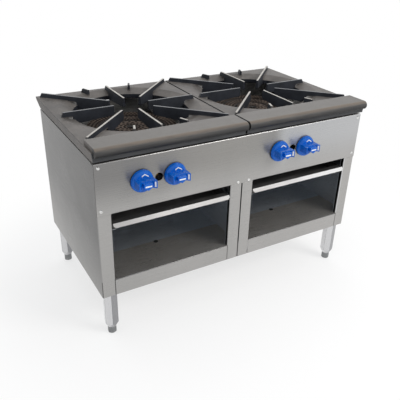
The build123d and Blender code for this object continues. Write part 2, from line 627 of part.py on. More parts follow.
def burner(x_section):
    """Three-ring burner casting with a mixer tube to each of its two gas chambers."""
    shell = Part()
    for radius in RING_RADII:
        shell += ring(radius, RING_WIDTH, RING_BOTTOM, RING_TOP, RING_BEVEL)
    channel_width = RING_WIDTH - 2 * RING_WALL
    channel_z = (RING_BOTTOM + RING_WALL, RING_TOP - RING_WALL)
    hollows = [ring(radius, channel_width, *channel_z) for radius in RING_RADII]
    arms, passages = burner_arms()
    shell = shell + arms
    mouth = FRONT + MOUTH_SETBACK - BURNER_Y
    outer_reach = math.sqrt(OUTER_RING_RADIUS ** 2 - KNOB_PITCH ** 2)
    for x, y in ((-KNOB_PITCH, -outer_reach), (0.0, -INNER_RING_RADIUS)):
        tube, bores = mixer_tube(x, y, mouth)
        shell = shell + tube
        hollows += bores
    shell = shell - (hollows + passages + burner_ports())
    for x in (-KNOB_PITCH, 0.0):
        plug = rod(MOUTH_RADIUS, (x, mouth, CONTROL_Z), (x, mouth + MOUTH_THICKNESS, CONTROL_Z))
        face = mixer_face(MOUTH_RADIUS, MOUTH_THICKNESS, SPUD_RADIUS + HOLE_CLEARANCE, x, mouth)
        shell = (shell - plug) + face
    return Pos(x_section, BURNER_Y, 0) * shell


def air_shutter(x):
    """The turning disc in front of a mixer face; its holes line up with the face's when open."""
    y = FRONT + MOUTH_SETBACK - SEAT_GAP - SHUTTER_THICKNESS
    disc = mixer_face(MOUTH_RADIUS, SHUTTER_THICKNESS, SPUD_RADIUS + RUNNING_CLEARANCE, x, y)
    tab_x = (x - SHUTTER_TAB_WIDTH / 2, x + SHUTTER_TAB_WIDTH / 2)
    tab_z = (CONTROL_Z + MOUTH_RADIUS - SHUTTER_THICKNESS, CONTROL_Z + MOUTH_RADIUS + SHUTTER_TAB_REACH)
    return disc + block(tab_x, (y, y + SHUTTER_THICKNESS), tab_z)


def burner_rail(x_section, side):
    """One angle bar from the control panel back to the rear panel, under the burner's edge."""
    x = x_section + side * RAIL_OFFSET
    y = (FRONT + SHEET, BACK - SHEET)
    flat = block((x - RAIL_WIDTH / 2, x + RAIL_WIDTH / 2), y, (RING_BOTTOM - RAIL_THICKNESS, RING_BOTTOM))
    edge = x + side * RAIL_WIDTH / 2
    return flat + block((edge, edge - side * RAIL_THICKNESS), y, (RING_BOTTOM - RAIL_HEIGHT, RING_BOTTOM))


# ---- controls ------------------------------------------------------------------------------
def knob_grip(foot):
    """Grip bar of a knob, with a finger scoop on each side of its middle."""
    end = GRIP_WIDTH / 2
    crest = KNOB_REACH - GRIP_SETBACK
    scoop = SHIELD_WIDTH / 2 + SHIELD_DRAFT
    half = [(end, foot), (end, crest - GRIP_BEVEL), (end - GRIP_BEVEL, crest),
            (scoop, KNOB_REACH - SCOOP_DEPTH)]
    points = half + [(-x, z) for x, z in reversed(half)]
    profile = make_face(Polyline(*[(x, -GRIP_FALL, z) for x, z in points], close=True))
    return extrude(profile, GRIP_RISE + GRIP_FALL, dir=(0, 1, 0))


def knob_shield(foot):
    """Pointed block in the middle of a knob's grip, its front edge rounded."""
    half = SHIELD_WIDTH / 2 + SHIELD_DRAFT
    outline = Polyline((-half, -SHIELD_SHOULDER), (0, -SHIELD_FALL), (half, -SHIELD_SHOULDER),
                       (half, SHIELD_RISE), (-half, SHIELD_RISE), close=True)
    height = KNOB_REACH - foot
    draft = math.degrees(math.atan2(SHIELD_DRAFT, height))
    shield = extrude(Plane.XY.offset(foot) * make_face(outline), height, taper=draft)
    return fillet(shield.faces().sort_by(Axis.Z)[-1].edges(), GRIP_ROUND)


def knob_body():
    """Control knob along +Z, its pointer towards +Y, with a skirt, a hub and a grip."""
    base = KNOB_CLEARANCE
    hub = base + SKIRT_RISE
    skirt_lean = math.degrees(math.atan2(SKIRT_LEAN, SKIRT_RISE))
    hub_lean = math.degrees(math.atan2(HUB_LEAN, HUB_RISE))
    knob = extrude(Plane.XY.offset(base) * Circle(KNOB_RADIUS), SKIRT_RISE, taper=skirt_lean)
    knob += extrude(Plane.XY.offset(hub) * Circle(KNOB_RADIUS - SKIRT_LEAN), HUB_RISE, taper=hub_lean)
    knob += knob_grip(hub) + knob_shield(hub)
    return knob - rod(STEM_RADIUS + RUNNING_CLEARANCE, (0, 0, 0), (0, 0, STEM_DEPTH + RUNNING_CLEARANCE))


def control_pieces(name, control, x, knob):
    """Knob, stem and valve of one burner chamber."""
    panel_plane = Plane(origin=(x, FRONT, CONTROL_Z), x_dir=(1, 0, 0), z_dir=(0, -1, 0))
    rear = FRONT + VALVE_SETBACK + VALVE_LENGTH
    seat = FRONT + VALVE_SETBACK + VALVE_LENGTH / 2
    stem = rod(STEM_RADIUS, (x, FRONT - STEM_DEPTH, CONTROL_Z), (x, seat - RUNNING_CLEARANCE, CONTROL_Z))
    valve = block((x - VALVE_WIDTH / 2, x + VALVE_WIDTH / 2), (FRONT + VALVE_SETBACK, rear),
                  (CONTROL_Z - VALVE_HEIGHT / 2, CONTROL_Z + VALVE_HEIGHT / 2))
    valve = chamfer(valve.edges().filter_by(Axis.Y), VALVE_CHAMFER)
    bonnet = FRONT + 2 * SHEET + JOINT_GAP
    valve += rod(BONNET_RADIUS, (x, bonnet, CONTROL_Z), (x, rear - VALVE_CHAMFER, CONTROL_Z))
    nipple_low = MANIFOLD_Z + MANIFOLD_RADIUS - NIPPLE_DEPTH
    valve += rod(NIPPLE_RADIUS, (x, MANIFOLD_Y, nipple_low), (x, MANIFOLD_Y, CONTROL_Z))
    valve -= rod(STEM_RADIUS + RUNNING_CLEARANCE, (x, FRONT, CONTROL_Z), (x, seat, CONTROL_Z))
    spud_seat = rear - SPUD_SHANK_LENGTH
    valve -= rod(SPUD_SHANK_RADIUS, (x, spud_seat, CONTROL_Z), (x, rear + 1, CONTROL_Z))
    return {
        f"knob_{name}_{control}": panel_plane * knob,
        f"valve_stem_{name}_{control}": stem,
        f"gas_valve_{name}_{control}": valve,
    }


def orifice_spud(x):
    """Brass spud that screws into a valve and feeds a mixer tube."""
    rear = FRONT + VALVE_SETBACK + VALVE_LENGTH
    spud = rod(SPUD_RADIUS, (x, rear, CONTROL_Z), (x, rear + SPUD_LENGTH, CONTROL_Z))
    spud += rod(SPUD_SHANK_RADIUS, (x, rear - SPUD_SHANK_LENGTH, CONTROL_Z), (x, rear, CONTROL_Z))
    hexagon = RegularPolygon(SPUD_COLLAR_RADIUS, 6, major_radius=False)
    collar = Plane(origin=(x, rear, CONTROL_Z), z_dir=(0, 1, 0)) * hexagon
    spud += extrude(collar, SPUD_COLLAR_LENGTH)
    end = (x, rear + SPUD_LENGTH + 1, CONTROL_Z)
    return spud - rod(ORIFICE_RADIUS, (x, rear - SPUD_SHANK_LENGTH - 1, CONTROL_Z), end)


# ---- gas train -----------------------------------------------------------------------------
def manifold():
    """Front pipe that feeds all valves, capped on the left."""
    left = -SECTION_X - KNOB_PITCH - 3 * NIPPLE_RADIUS
    right = INLET_X - ELBOW_REACH
    start, end = (left, MANIFOLD_Y, MANIFOLD_Z), (right, MANIFOLD_Y, MANIFOLD_Z)
    pipe = rod(MANIFOLD_RADIUS, start, end)
    pipe -= rod(MANIFOLD_RADIUS - MANIFOLD_WALL, (left + MANIFOLD_WALL, MANIFOLD_Y, MANIFOLD_Z), end)
    floor = MANIFOLD_Z + MANIFOLD_RADIUS - NIPPLE_DEPTH - RUNNING_CLEARANCE
    top = MANIFOLD_Z + 2 * MANIFOLD_RADIUS
    sockets = [(x, NIPPLE_RADIUS) for _, _, x in knob_places()]
    sockets += [(side * SECTION_X - PILOT_HOLE_OFFSET, PILOT_VALVE_RADIUS) for side in SIDES.values()]
    for x, radius in sockets:
        pipe -= rod(radius + RUNNING_CLEARANCE, (x, MANIFOLD_Y, floor), (x, MANIFOLD_Y, top))
    return pipe


def inlet_elbow():
    """Elbow between the manifold and the inlet pipe."""
    start = (INLET_X - ELBOW_REACH, MANIFOLD_Y, MANIFOLD_Z)
    corner = (INLET_X, MANIFOLD_Y, MANIFOLD_Z)
    end = (INLET_X, MANIFOLD_Y + ELBOW_REACH, MANIFOLD_Z)
    path = FilletPolyline(start, corner, end, radius=ELBOW_BEND)
    plane = Plane(origin=start, z_dir=(1, 0, 0))
    wall = Circle(ELBOW_RADIUS) - Circle(MANIFOLD_RADIUS - MANIFOLD_WALL)
    return sweep(plane * wall, path)


def inlet_pipe():
    """Pipe from the elbow to the threaded gas connection behind the range."""
    start = (INLET_X, MANIFOLD_Y + ELBOW_REACH, MANIFOLD_Z)
    shoulder = (INLET_X, BACK + INLET_SHOULDER, MANIFOLD_Z)
    end = (INLET_X, BACK + INLET_SHOULDER + INLET_THREAD_LENGTH, MANIFOLD_Z)
    pipe = rod(MANIFOLD_RADIUS, start, shoulder) + rod(INLET_THREAD_RADIUS, shoulder, end)
    return pipe - rod(MANIFOLD_RADIUS - MANIFOLD_WALL, start, end)


def pilot_pieces(name, side):
    """Pilot valve on the manifold, its tube, and the pilot burner inside the inner ring."""
    middle = side * SECTION_X
    x = middle - PILOT_HOLE_OFFSET
    low = MANIFOLD_Z + MANIFOLD_RADIUS - NIPPLE_DEPTH
    tube_z = CONTROL_Z - PILOT_OUTLET_DROP
    outlet = (x, MANIFOLD_Y + PILOT_NECK_REAR, tube_z)
    valve = rod(PILOT_VALVE_RADIUS, (x, MANIFOLD_Y, low), (x, MANIFOLD_Y, low + PILOT_VALVE_RISE))
    screw_end = (x, MANIFOLD_Y - PILOT_NECK_FRONT, CONTROL_Z)
    valve += rod(PILOT_NECK_RADIUS, screw_end, (x, MANIFOLD_Y, CONTROL_Z))
    valve += rod(PILOT_NECK_RADIUS, (x, MANIFOLD_Y, tube_z), outlet)
    strip_z = (RING_BOTTOM - BRACKET_THICKNESS, RING_BOTTOM)
    path = FilletPolyline(outlet, (x, BURNER_Y, tube_z), (middle, BURNER_Y, tube_z),
                          (middle, BURNER_Y, strip_z[0]), radius=PILOT_BEND)
    section = Plane(origin=outlet, z_dir=(0, 1, 0)) * Circle(PILOT_TUBE_RADIUS)
    tip = rod(PILOT_TIP_RADIUS, (middle, BURNER_Y, strip_z[0]), (middle, BURNER_Y, PILOT_TOP))
    strip_x = (middle - BRACKET_WIDTH / 2, middle + BRACKET_WIDTH / 2)
    strip = block(strip_x, (BURNER_Y - BRACKET_WIDTH / 2, BURNER_Y + INNER_RING_RADIUS), strip_z)
    return {
        f"pilot_valve_{name}": valve,
        f"pilot_tube_{name}": sweep(section, path),
        f"pilot_burner_{name}": tip + strip,
    }


# ---- drip trays ----------------------------------------------------------------------------
def drip_tray(x_section):
    """Pull-out pan with a level flange and a slanted lip in front of it."""
    half_opening = (HALF - 2 * STILE_WIDTH) / 2
    half = half_opening - TRAY_SIDE_GAP
    wall = FRONT + TRAY_FLANGE
    pan = block((x_section - half, x_section + half), (wall, wall + TRAY_DEPTH), (TRAY_BOTTOM, TRAY_TOP))
    pan -= block((x_section - half + TRAY_SHEET, x_section + half - TRAY_SHEET),
                 (wall + TRAY_SHEET, wall + TRAY_DEPTH - TRAY_SHEET),
                 (TRAY_BOTTOM + TRAY_SHEET, TRAY_TOP + TRAY_SHEET))
    reach = half_opening - LIP_SIDE_GAP
    crest = FRONT + TRAY_SHEET
    low_y = FRONT - LIP_REACH
    low_z = TRAY_TOP - LIP_DROP
    flange_end = wall + TRAY_SHEET
    outline = [(flange_end, TRAY_TOP), (crest, TRAY_TOP), (low_y, low_z), (low_y + TRAY_SHEET, low_z),
               (crest + TRAY_SHEET, TRAY_TOP - TRAY_SHEET), (flange_end, TRAY_TOP - TRAY_SHEET)]
    lip = prism_x(outline, (x_section - reach, x_section + reach))
    for side in (-1, 1):
        corner = x_section + side * reach
        y = low_y - LIP_MITRE
        cut = Polyline((corner, y, low_z), (corner - side * LIP_MITRE, y, low_z),
                       (corner, y, low_z + LIP_MITRE), close=True)
        lip -= extrude(make_face(cut), 3 * LIP_MITRE, dir=(0, 1, 0))
    return pan + lip


def tray_runners(side):
    """The two angle brackets that carry one drip tray."""
    half_opening = (HALF - 2 * STILE_WIDTH) / 2
    y = (FRONT + RUNNER_END_GAP, BACK - RUNNER_END_GAP)
    under = SECTION_X - half_opening + TRAY_SIDE_GAP + RUNNER_OVERLAP
    low = RUNNER_TOP - RUNNER_THICKNESS
    runner = block((SHEET, under), y, (low, RUNNER_TOP))
    runner += block((SHEET, SHEET + RUNNER_THICKNESS), y, (low, RUNNER_TOP + RUNNER_HEIGHT))
    other = Pos(HALF, 0, 0) * mirror(runner, about=Plane.YZ)
    return [mirrored(piece, side) for piece in (runner, other)]


# ---- legs ----------------------------------------------------------------------------------
def leg(x, y):
    """Hexagonal leg with a coned foot end and a threaded stud on top."""
    radius = LEG_ACROSS_FLATS / 2
    hexagon = RegularPolygon(radius, 6, major_radius=False)
    height = CASE_BOTTOM - LEG_FOOT_Z
    bar = extrude(Rot(0, 0, LEG_TWIST) * hexagon, height)
    corner = radius / math.cos(math.pi / 6)
    envelope = turned([(0, 0), (LEG_CONE_RADIUS, 0), (corner, LEG_CONE_HEIGHT),
                       (corner, height), (0, height)])
    stud_top = height + SHEET + 3 * LEG_PLATE_THICKNESS
    body = (bar & envelope) + rod(LEG_STUD_RADIUS, (0, 0, height), (0, 0, stud_top))
    body -= rod(FOOT_STEM_RADIUS + RUNNING_CLEARANCE, (0, 0, 0), (0, 0, LEG_BORE_DEPTH))
    return Pos(x, y, LEG_FOOT_Z) * body


def foot(x, y):
    """Levelling foot with a threaded stem, screwed into the leg."""
    top = LEG_FOOT_Z - SEAT_GAP
    body = extrude(Rot(0, 0, LEG_TWIST) * RegularPolygon(FOOT_RADIUS, 6, major_radius=False), top)
    widest = FOOT_RADIUS + 1
    body = body & turned([(0, 0), (FOOT_RADIUS - FOOT_CHAMFER, 0), (widest, FOOT_CHAMFER),
                          (widest, top - FOOT_NECK), (FOOT_RADIUS - 1, top), (0, top)])
    return Pos(x, y, 0) * (body + rod(FOOT_STEM_RADIUS, (0, 0, 0), (0, 0, top + FOOT_STEM_LENGTH)))


def leg_plate(side, y_leg):
    """Plate inside the cabinet's corner that takes a leg's stud."""
    x = (side * (HALF - SHEET - LEG_PLATE_SIZE), side * (HALF - SHEET))
    if y_leg < (FRONT + BACK) / 2:
        y = (FRONT + STILE_RETURN + JOINT_GAP, FRONT + STILE_RETURN + JOINT_GAP + LEG_PLATE_SIZE)
    else:
        y = (BACK - 2 * SHEET - JOINT_GAP - LEG_PLATE_SIZE, BACK - 2 * SHEET - JOINT_GAP)
    floor = CASE_BOTTOM + SHEET
    plate = block(x, y, (floor, floor + LEG_PLATE_THICKNESS))
    hole = rod(LEG_STUD_RADIUS + RUNNING_CLEARANCE, (side * LEG_X, y_leg, 0), (side * LEG_X, y_leg, CASE_TOP))
    return plate - hole


# ---- fasteners -----------------------------------------------------------------------------
def screw(x, z, seat, out):
    """Truss head screw along Y; out is -1 towards the front or 1 towards the rear."""
    head = Circle(SCREW_HEAD_RADIUS)
    plane = Plane(origin=(x, seat, z), z_dir=(0, out, 0))
    body = extrude(plane * head, SCREW_HEAD_HEIGHT, taper=SCREW_HEAD_DRAFT)
    body += rod(SCREW_SHANK_RADIUS, (x, seat, z), (x, seat - out * SCREW_LENGTH, z))
    crown = seat + out * SCREW_HEAD_HEIGHT
    sunk = (crown - out * RECESS_DEPTH, crown + out * RECESS_DEPTH)
    long_side, short_side = RECESS_RADIUS, RECESS_WIDTH / 2
    for half_x, half_z in ((long_side, short_side), (short_side, long_side)):
        body -= block((x - half_x, x + half_x), sunk, (z - half_z, z + half_z))
    return body


def joining_bolt(y, z):
    """Bolt and nut through the two inner side panels."""
    hexagon = RegularPolygon(BOLT_HEAD_RADIUS, 6, major_radius=False)
    body = rod(BOLT_RADIUS, (-SHEET - 1.5 * BOLT_HEAD_HEIGHT, y, z), (SHEET, y, z))
    for x, direction in ((SHEET, 1), (-SHEET, -1)):
        body += extrude(Plane(origin=(x, y, z), z_dir=(direction, 0, 0)) * hexagon, BOLT_HEAD_HEIGHT)
    return body


# ---- the whole range -----------------------------------------------------------------------
def build():
    """Every node of the range, by name; a list is a group of separate solids."""
    nodes = {}
    nodes.update(side_panels())
    nodes.update(back_panels())
    nodes["control_panel"] = control_panel()
    shelf = bottom_shelf()
    casting = top_casting()
    knob = knob_body()
    for name, side in SIDES.items():
        x = side * SECTION_X
        nodes[f"bottom_shelf_{name}"] = mirrored(shelf, side)
        nodes[f"top_casting_{name}"] = mirrored(casting, side)
        nodes[f"burner_{name}"] = burner(x)
        nodes[f"burner_rail_outer_{name}"] = burner_rail(x, side)
        nodes[f"burner_rail_inner_{name}"] = burner_rail(x, -side)
        nodes[f"drip_tray_{name}"] = drip_tray(x)
        nodes[f"tray_runners_{name}"] = tray_runners(side)
        nodes.update(pilot_pieces(name, side))
        for end, y in zip(("front", "rear"), LEG_Y):
            nodes[f"leg_{end}_{name}"] = leg(side * LEG_X, y)
            nodes[f"foot_{end}_{name}"] = foot(side * LEG_X, y)
    for name, control, x in knob_places():
        nodes.update(control_pieces(name, control, x, knob))
        nodes[f"air_shutter_{name}_{control}"] = air_shutter(x)
    nodes["orifice_spuds"] = [orifice_spud(x) for _, _, x in knob_places()]
    nodes["gas_manifold"] = manifold()
    nodes["inlet_elbow"] = inlet_elbow()
    nodes["inlet_pipe"] = inlet_pipe()
    nodes["leg_plates"] = [leg_plate(side, y) for side in SIDES.values() for y in LEG_Y]
    nodes["panel_screws"] = [screw(x, z, FRONT, -1) for x, z in panel_screw_places()]
    nodes["back_screws"] = [screw(x, z, BACK, 1) for x, z in back_screw_places()]
    nodes["joining_bolts"] = [joining_bolt(y, z) for y, z in bolt_places()]
    return nodes


def export_all():
    """Write one STEP file per node."""
    os.makedirs("parts", exist_ok=True)
    for name, shape in build().items():
        solids = shape if isinstance(shape, list) else [shape]
        group = Compound(children=[solid for piece in solids for solid in piece.solids()])
        export_step(group, f"parts/{name}.step")


export_all()
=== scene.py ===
import math

import bmesh
import bpy
from mathutils import Matrix, Vector


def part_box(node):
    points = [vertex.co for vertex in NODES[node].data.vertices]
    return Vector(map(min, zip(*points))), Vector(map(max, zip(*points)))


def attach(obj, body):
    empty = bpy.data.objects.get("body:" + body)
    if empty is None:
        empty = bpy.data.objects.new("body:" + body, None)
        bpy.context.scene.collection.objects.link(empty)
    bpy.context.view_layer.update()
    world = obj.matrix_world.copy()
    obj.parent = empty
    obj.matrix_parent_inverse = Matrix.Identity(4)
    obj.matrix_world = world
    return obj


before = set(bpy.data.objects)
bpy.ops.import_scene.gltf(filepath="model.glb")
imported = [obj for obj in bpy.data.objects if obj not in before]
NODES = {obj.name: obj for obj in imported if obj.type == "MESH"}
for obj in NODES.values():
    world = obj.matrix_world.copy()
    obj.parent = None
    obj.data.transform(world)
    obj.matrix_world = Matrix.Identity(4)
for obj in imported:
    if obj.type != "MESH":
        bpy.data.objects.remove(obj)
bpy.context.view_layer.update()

MM = 0.001
SIDES = ("left", "right")
CONTROLS = ("outer", "inner")

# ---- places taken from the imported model, in metres ---------------------------------------------
PANEL_LOW, PANEL_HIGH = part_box("control_panel")
HALF = PANEL_HIGH.x  # half the width of the case
FRONT = PANEL_LOW.y
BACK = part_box("back_panel_left")[1].y
CASE_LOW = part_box("back_panel_left")[0].z
BAY_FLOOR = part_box("bottom_shelf_left")[1].z
CROWN_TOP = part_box("top_casting_left")[1].z  # the supports' crowns and the front ledge
PLATE_TOP = CROWN_TOP - 12.7 * MM
LEDGE_REAR = FRONT + 62 * MM
NOSE_FRONT = FRONT - 8 * MM
OPENING_RADIUS = 179 * MM
BURNER_LOW, BURNER_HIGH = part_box("burner_right")
SECTION_X = BURNER_LOW.x / 2 + BURNER_HIGH.x / 2  # the burners' axes are this far from the middle
BURNER_Y = BURNER_HIGH.y - (BURNER_HIGH.x - SECTION_X)
CAP_RISE = 1.2  # millimetres that a port plate stands above its ring
PORT_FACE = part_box("burner_left")[1].z + CAP_RISE * MM

# ---- where finishes change: each band is 0 at its first number and 1 at its second --------------
OUTER_FACE = HALF - 0.6 * MM, HALF - 0.4 * MM  # |x|, the case's outer sides
INSIDE_POSTS = FRONT + 3.2 * MM, FRONT + 3.6 * MM  # y, behind the folded posts
INSIDE_REAR = BACK - 0.5 * MM, BACK - 0.7 * MM  # y, in front of the rear panels' outer face
INSIDE_PANEL = PANEL_LOW.z, PANEL_LOW.z - 5 * MM  # z, below the control panel
INSIDE_FLOOR = BAY_FLOOR - 1.1 * MM, BAY_FLOOR - 0.9 * MM  # z, above the bay floors' underside
FLOOR_FACE = BAY_FLOOR + 1.5 * MM, BAY_FLOOR + 0.5 * MM  # z, the bay floors' top
FLOOR_FOLD = BAY_FLOOR + 2 * MM, BAY_FLOOR + 1 * MM  # z, the bay floors' front fold and below
FLOOR_LIT_STRIP = FRONT + 134 * MM, FRONT + 133 * MM  # y, the front strip of the bay floors, painted as lit
WALL_SHADE_STRIP = FRONT + 13 * MM, FRONT + 12 * MM  # y, the strip of wall behind the posts, painted as shade
SEAM = 6 * MM, 5 * MM  # |x|, where the two cabinets meet
SEAM_TOP = PANEL_LOW.z, PANEL_LOW.z - 1 * MM  # z
PANEL_FACE = FRONT + 2 * MM, FRONT + 1 * MM  # y
PANEL_RISE = PANEL_LOW.z - 15 * MM, PANEL_LOW.z + 115 * MM  # z
PANEL_HIGHLIGHT = 0.61, 0.67  # share of the panel's length where the painted highlight comes in
TRAY_PAN = FRONT + 1.0 * MM, FRONT + 2.5 * MM  # y, behind the lip
TRAY_HIGHLIGHT = 0.2 * HALF, 0.8 * HALF  # x, where the lip's painted highlight comes in
BEHIND_LEDGE = LEDGE_REAR - 3 * MM, LEDGE_REAR - 2 * MM  # y
CREST = CROWN_TOP - 1.0 * MM, CROWN_TOP - 0.3 * MM  # z
ABOVE_PLATE = PLATE_TOP - 3 * MM, PLATE_TOP  # z
AT_OPENING = OPENING_RADIUS + 8 * MM, OPENING_RADIUS + 6 * MM  # from the burner's axis
IN_DISH = PLATE_TOP - 12.2 * MM, PLATE_TOP - 13 * MM  # z, below the dish's rim
DISH_REACH = OPENING_RADIUS + 49 * MM, OPENING_RADIUS + 43 * MM  # from the burner's axis
SHORT_NEAR = 40 * MM, 45 * MM  # beside the burner's axis, for the short supports
SHORT_FAR = 110 * MM, 105 * MM  # the same
SHORT_REAR = 170 * MM, 175 * MM  # behind the burner's axis
NOSE_FACE = NOSE_FRONT + 1 * MM, NOSE_FRONT  # y
NOSE_SHOULDER = FRONT - 3 * MM, FRONT - 9 * MM  # y, the rubbed shoulder, partly painted highlight
APRON_REAR = FRONT, FRONT - 1 * MM  # y, the strip under the bullnose
APRON_FRONT = NOSE_FRONT, NOSE_FRONT + 1 * MM  # y
TOPS_JOINT = 3.6 * MM, 3.1 * MM  # |x|, where the two tops meet
IN_PORT = PORT_FACE - 0.15 * MM, PORT_FACE - 0.6 * MM  # z, inside the ports, painted black as shade
STEEP = 0.55, 0.3  # |z| of the normal
LEVEL = 0.9, 0.97  # z of the normal
TURNED_FORWARD = 0.9, 0.5  # z of the normal
TURNED_UP = 0.45, 0.9  # z of the normal
TURNED_DOWN = 0.2, -0.5  # z of the normal
FOLDED = 0.985, 0.94  # the normal's largest part
EDGE_TURN = 0.02 ** 2, 0.35 ** 2  # 1 less the cosine to the rounded normal
RUBBED_REACH = 1.3  # how far rubbing goes over an iron edge, in its radii
RUBBED_SHARE = 0.35
HANDLED_SHARE = 0.25

BEVEL_SAMPLES = 6
MIX_INPUTS = (0, 6, 7)  # a colour mix node's factor and its two colours
MIX_RESULT = 2


def middle_of(node):
    """The middle of a node's box at rest."""
    low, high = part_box(node)
    return (low + high) / 2


def srgb(red, green, blue):
    """A linear colour from 0 to 255 display values."""
    def linear(value):
        value /= 255
        return value / 12.92 if value <= 0.04045 else ((value + 0.055) / 1.055) ** 2.4
    return (linear(red), linear(green), linear(blue), 1.0)


# ---- materials ---------------------------------------------------------------------------------
class Shade:
    """A procedural material whose nodes are added by short calls."""

    def __init__(self, name, **values):
        self.material = bpy.data.materials.new(name)
        self.material.use_nodes = True
        self.tree = self.material.node_tree
        self.tree.nodes.clear()
        self.output = self.add("ShaderNodeOutputMaterial")
        self.shader = self.add("ShaderNodeBsdfPrincipled")
        self.wire(self.output.inputs["Surface"], self.shader.outputs[0])
        self.put(**values)
        self.place = self.add("ShaderNodeTexCoord").outputs["Object"]

    def add(self, kind, **settings):
        """A new node with its settings."""
        node = self.tree.nodes.new(kind)
        for key, value in settings.items():
            setattr(node, key, value)
        return node

    def wire(self, socket, value):
        """Link a socket to another node's output, or set its own value."""
        if isinstance(value, bpy.types.NodeSocket):
            self.tree.links.new(value, socket)
        else:
            socket.default_value = value

    def feed(self, node, **inputs):
        """Wire a node's inputs by name, with _ for a space."""
        for key, value in inputs.items():
            self.wire(node.inputs[key.replace("_", " ")], value)
        return node

    def put(self, **inputs):
        """Wire the shader's own inputs."""
        self.feed(self.shader, **inputs)

    def operate(self, kind, operation, values):
        """A maths node of a kind, with its inputs wired in order."""
        node = self.add(kind, operation=operation)
        for socket, value in zip(node.inputs, values):
            self.wire(socket, value)
        return node

    def maths(self, operation, *values):
        return self.operate("ShaderNodeMath", operation, values).outputs[0]

    def vector(self, operation, *values, output="Vector"):
        return self.operate("ShaderNodeVectorMath", operation, values).outputs[output]

    def size_of(self, value):
        """A number without its sign."""
        return self.maths("ABSOLUTE", value)

    def merge(self, first, second, share):
        """Two values added up, the second with its share of the whole."""
        return self.maths("ADD", self.maths("MULTIPLY", first, 1 - share),
                          self.maths("MULTIPLY", second, share))

    def all_of(self, *masks):
        """1 where every mask is 1."""
        product = masks[0]
        for mask in masks[1:]:
            product = self.maths("MULTIPLY", product, mask)
        return product

    def any_of(self, first, second):
        """1 where either mask is 1."""
        return self.maths("MAXIMUM", first, second)

    def span(self, value, low, high, to_low=0.0, to_high=1.0, smooth=False):
        """Map a value's range onto another, clamped."""
        node = self.add("ShaderNodeMapRange")
        if smooth:
            node.interpolation_type = "SMOOTHSTEP"
        self.feed(node, Value=value, From_Min=low, From_Max=high, To_Min=to_low, To_Max=to_high)
        return node.outputs[0]

    def none_of(self, mask):
        """1 where the mask is 0."""
        return self.span(mask, 1.0, 0.0)

    def split(self, vector):
        """The x, y and z of a vector."""
        node = self.add("ShaderNodeSeparateXYZ")
        self.wire(node.inputs[0], vector)
        return node.outputs

    def geometry(self, name):
        return self.add("ShaderNodeNewGeometry").outputs[name]

    def facing(self):
        """The x, y and z of the mesh's own normal."""
        return self.split(self.geometry("True Normal"))

    def noise(self, scale, detail=3.0, roughness=0.5, place=None, stretch=None):
        """Smooth noise, with features of about 1 / scale metres."""
        place = place or self.place
        if stretch:
            place = self.vector("MULTIPLY", place, stretch)
        node = self.add("ShaderNodeTexNoise")
        self.feed(node, Vector=place, Scale=scale, Detail=detail, Roughness=roughness)
        return node.outputs["Fac"]

    def cells(self, scale, output="Distance"):
        """Random cells of about 1 / scale metres."""
        node = self.add("ShaderNodeTexVoronoi")
        self.feed(node, Vector=self.place, Scale=scale)
        return node.outputs[output]

    def blend(self, factor, first, second, mode="MIX"):
        """The second colour over the first, by a factor."""
        node = self.add("ShaderNodeMix", data_type="RGBA", blend_type=mode)
        for index, value in zip(MIX_INPUTS, (factor, first, second)):
            self.wire(node.inputs[index], value)
        return node.outputs[MIX_RESULT]

    def tint(self, factor, colour, tone):
        """A colour multiplied by a tone, by a factor."""
        return self.blend(factor, colour, self.blend(1.0, colour, tone, mode="MULTIPLY"))

    def ramp(self, value, *stops):
        """A colour that runs through (position, colour) stops."""
        node = self.add("ShaderNodeValToRGB")
        self.wire(node.inputs[0], value)
        elements = node.color_ramp.elements
        while len(elements) < len(stops):
            elements.new(0.5)
        for element, (position, colour) in zip(elements, stops):
            element.position = position
            element.color = colour
        return node.outputs[0]

    def tones(self, value, dark, light, low=0.3, high=0.7):
        """From a dark to a light tone as a noise goes from low to high."""
        return self.ramp(value, (low, dark), (high, light))

    def rounded(self, radius):
        """The normal as if corners were rounded by a radius in metres."""
        node = self.feed(self.add("ShaderNodeBevel", samples=BEVEL_SAMPLES), Radius=radius)
        return node.outputs[0]

    def edges(self, radius):
        """1 along convex or concave edges within the radius, 0 elsewhere."""
        alike = self.vector("DOT_PRODUCT", self.rounded(radius), self.geometry("Normal"),
                            output="Value")
        return self.span(self.maths("SUBTRACT", 1.0, alike), *EDGE_TURN)

    def bump(self, height, strength, distance, edge=0.0):
        """Bump from a height; edge rounds the corners as seen by light, in metres."""
        node = self.add("ShaderNodeBump")
        self.feed(node, Strength=strength, Distance=distance, Height=height)
        if edge:
            self.feed(node, Normal=self.rounded(edge))
        self.put(Normal=node.outputs[0])


def brushing(shade, along, across, detail=5.0, roughness=0.62):
    """Noise drawn out into fine level lines on every face of a folded sheet."""
    level = shade.maths("GREATER_THAN", shade.size_of(shade.facing()[2]), 0.5)
    depth = shade.span(level, 0.0, 1.0, along, across)
    scale = shade.feed(shade.add("ShaderNodeCombineXYZ"), X=along, Y=depth, Z=across)
    place = shade.vector("MULTIPLY", shade.place, scale.outputs[0])
    return shade.noise(1.0, detail=detail, roughness=roughness, place=place)


def brushed_tangent(shade):
    """The direction across the brushing on each face."""
    return shade.vector("CROSS_PRODUCT", shade.geometry("True Normal"), (1.0, 0.05, 0.0))


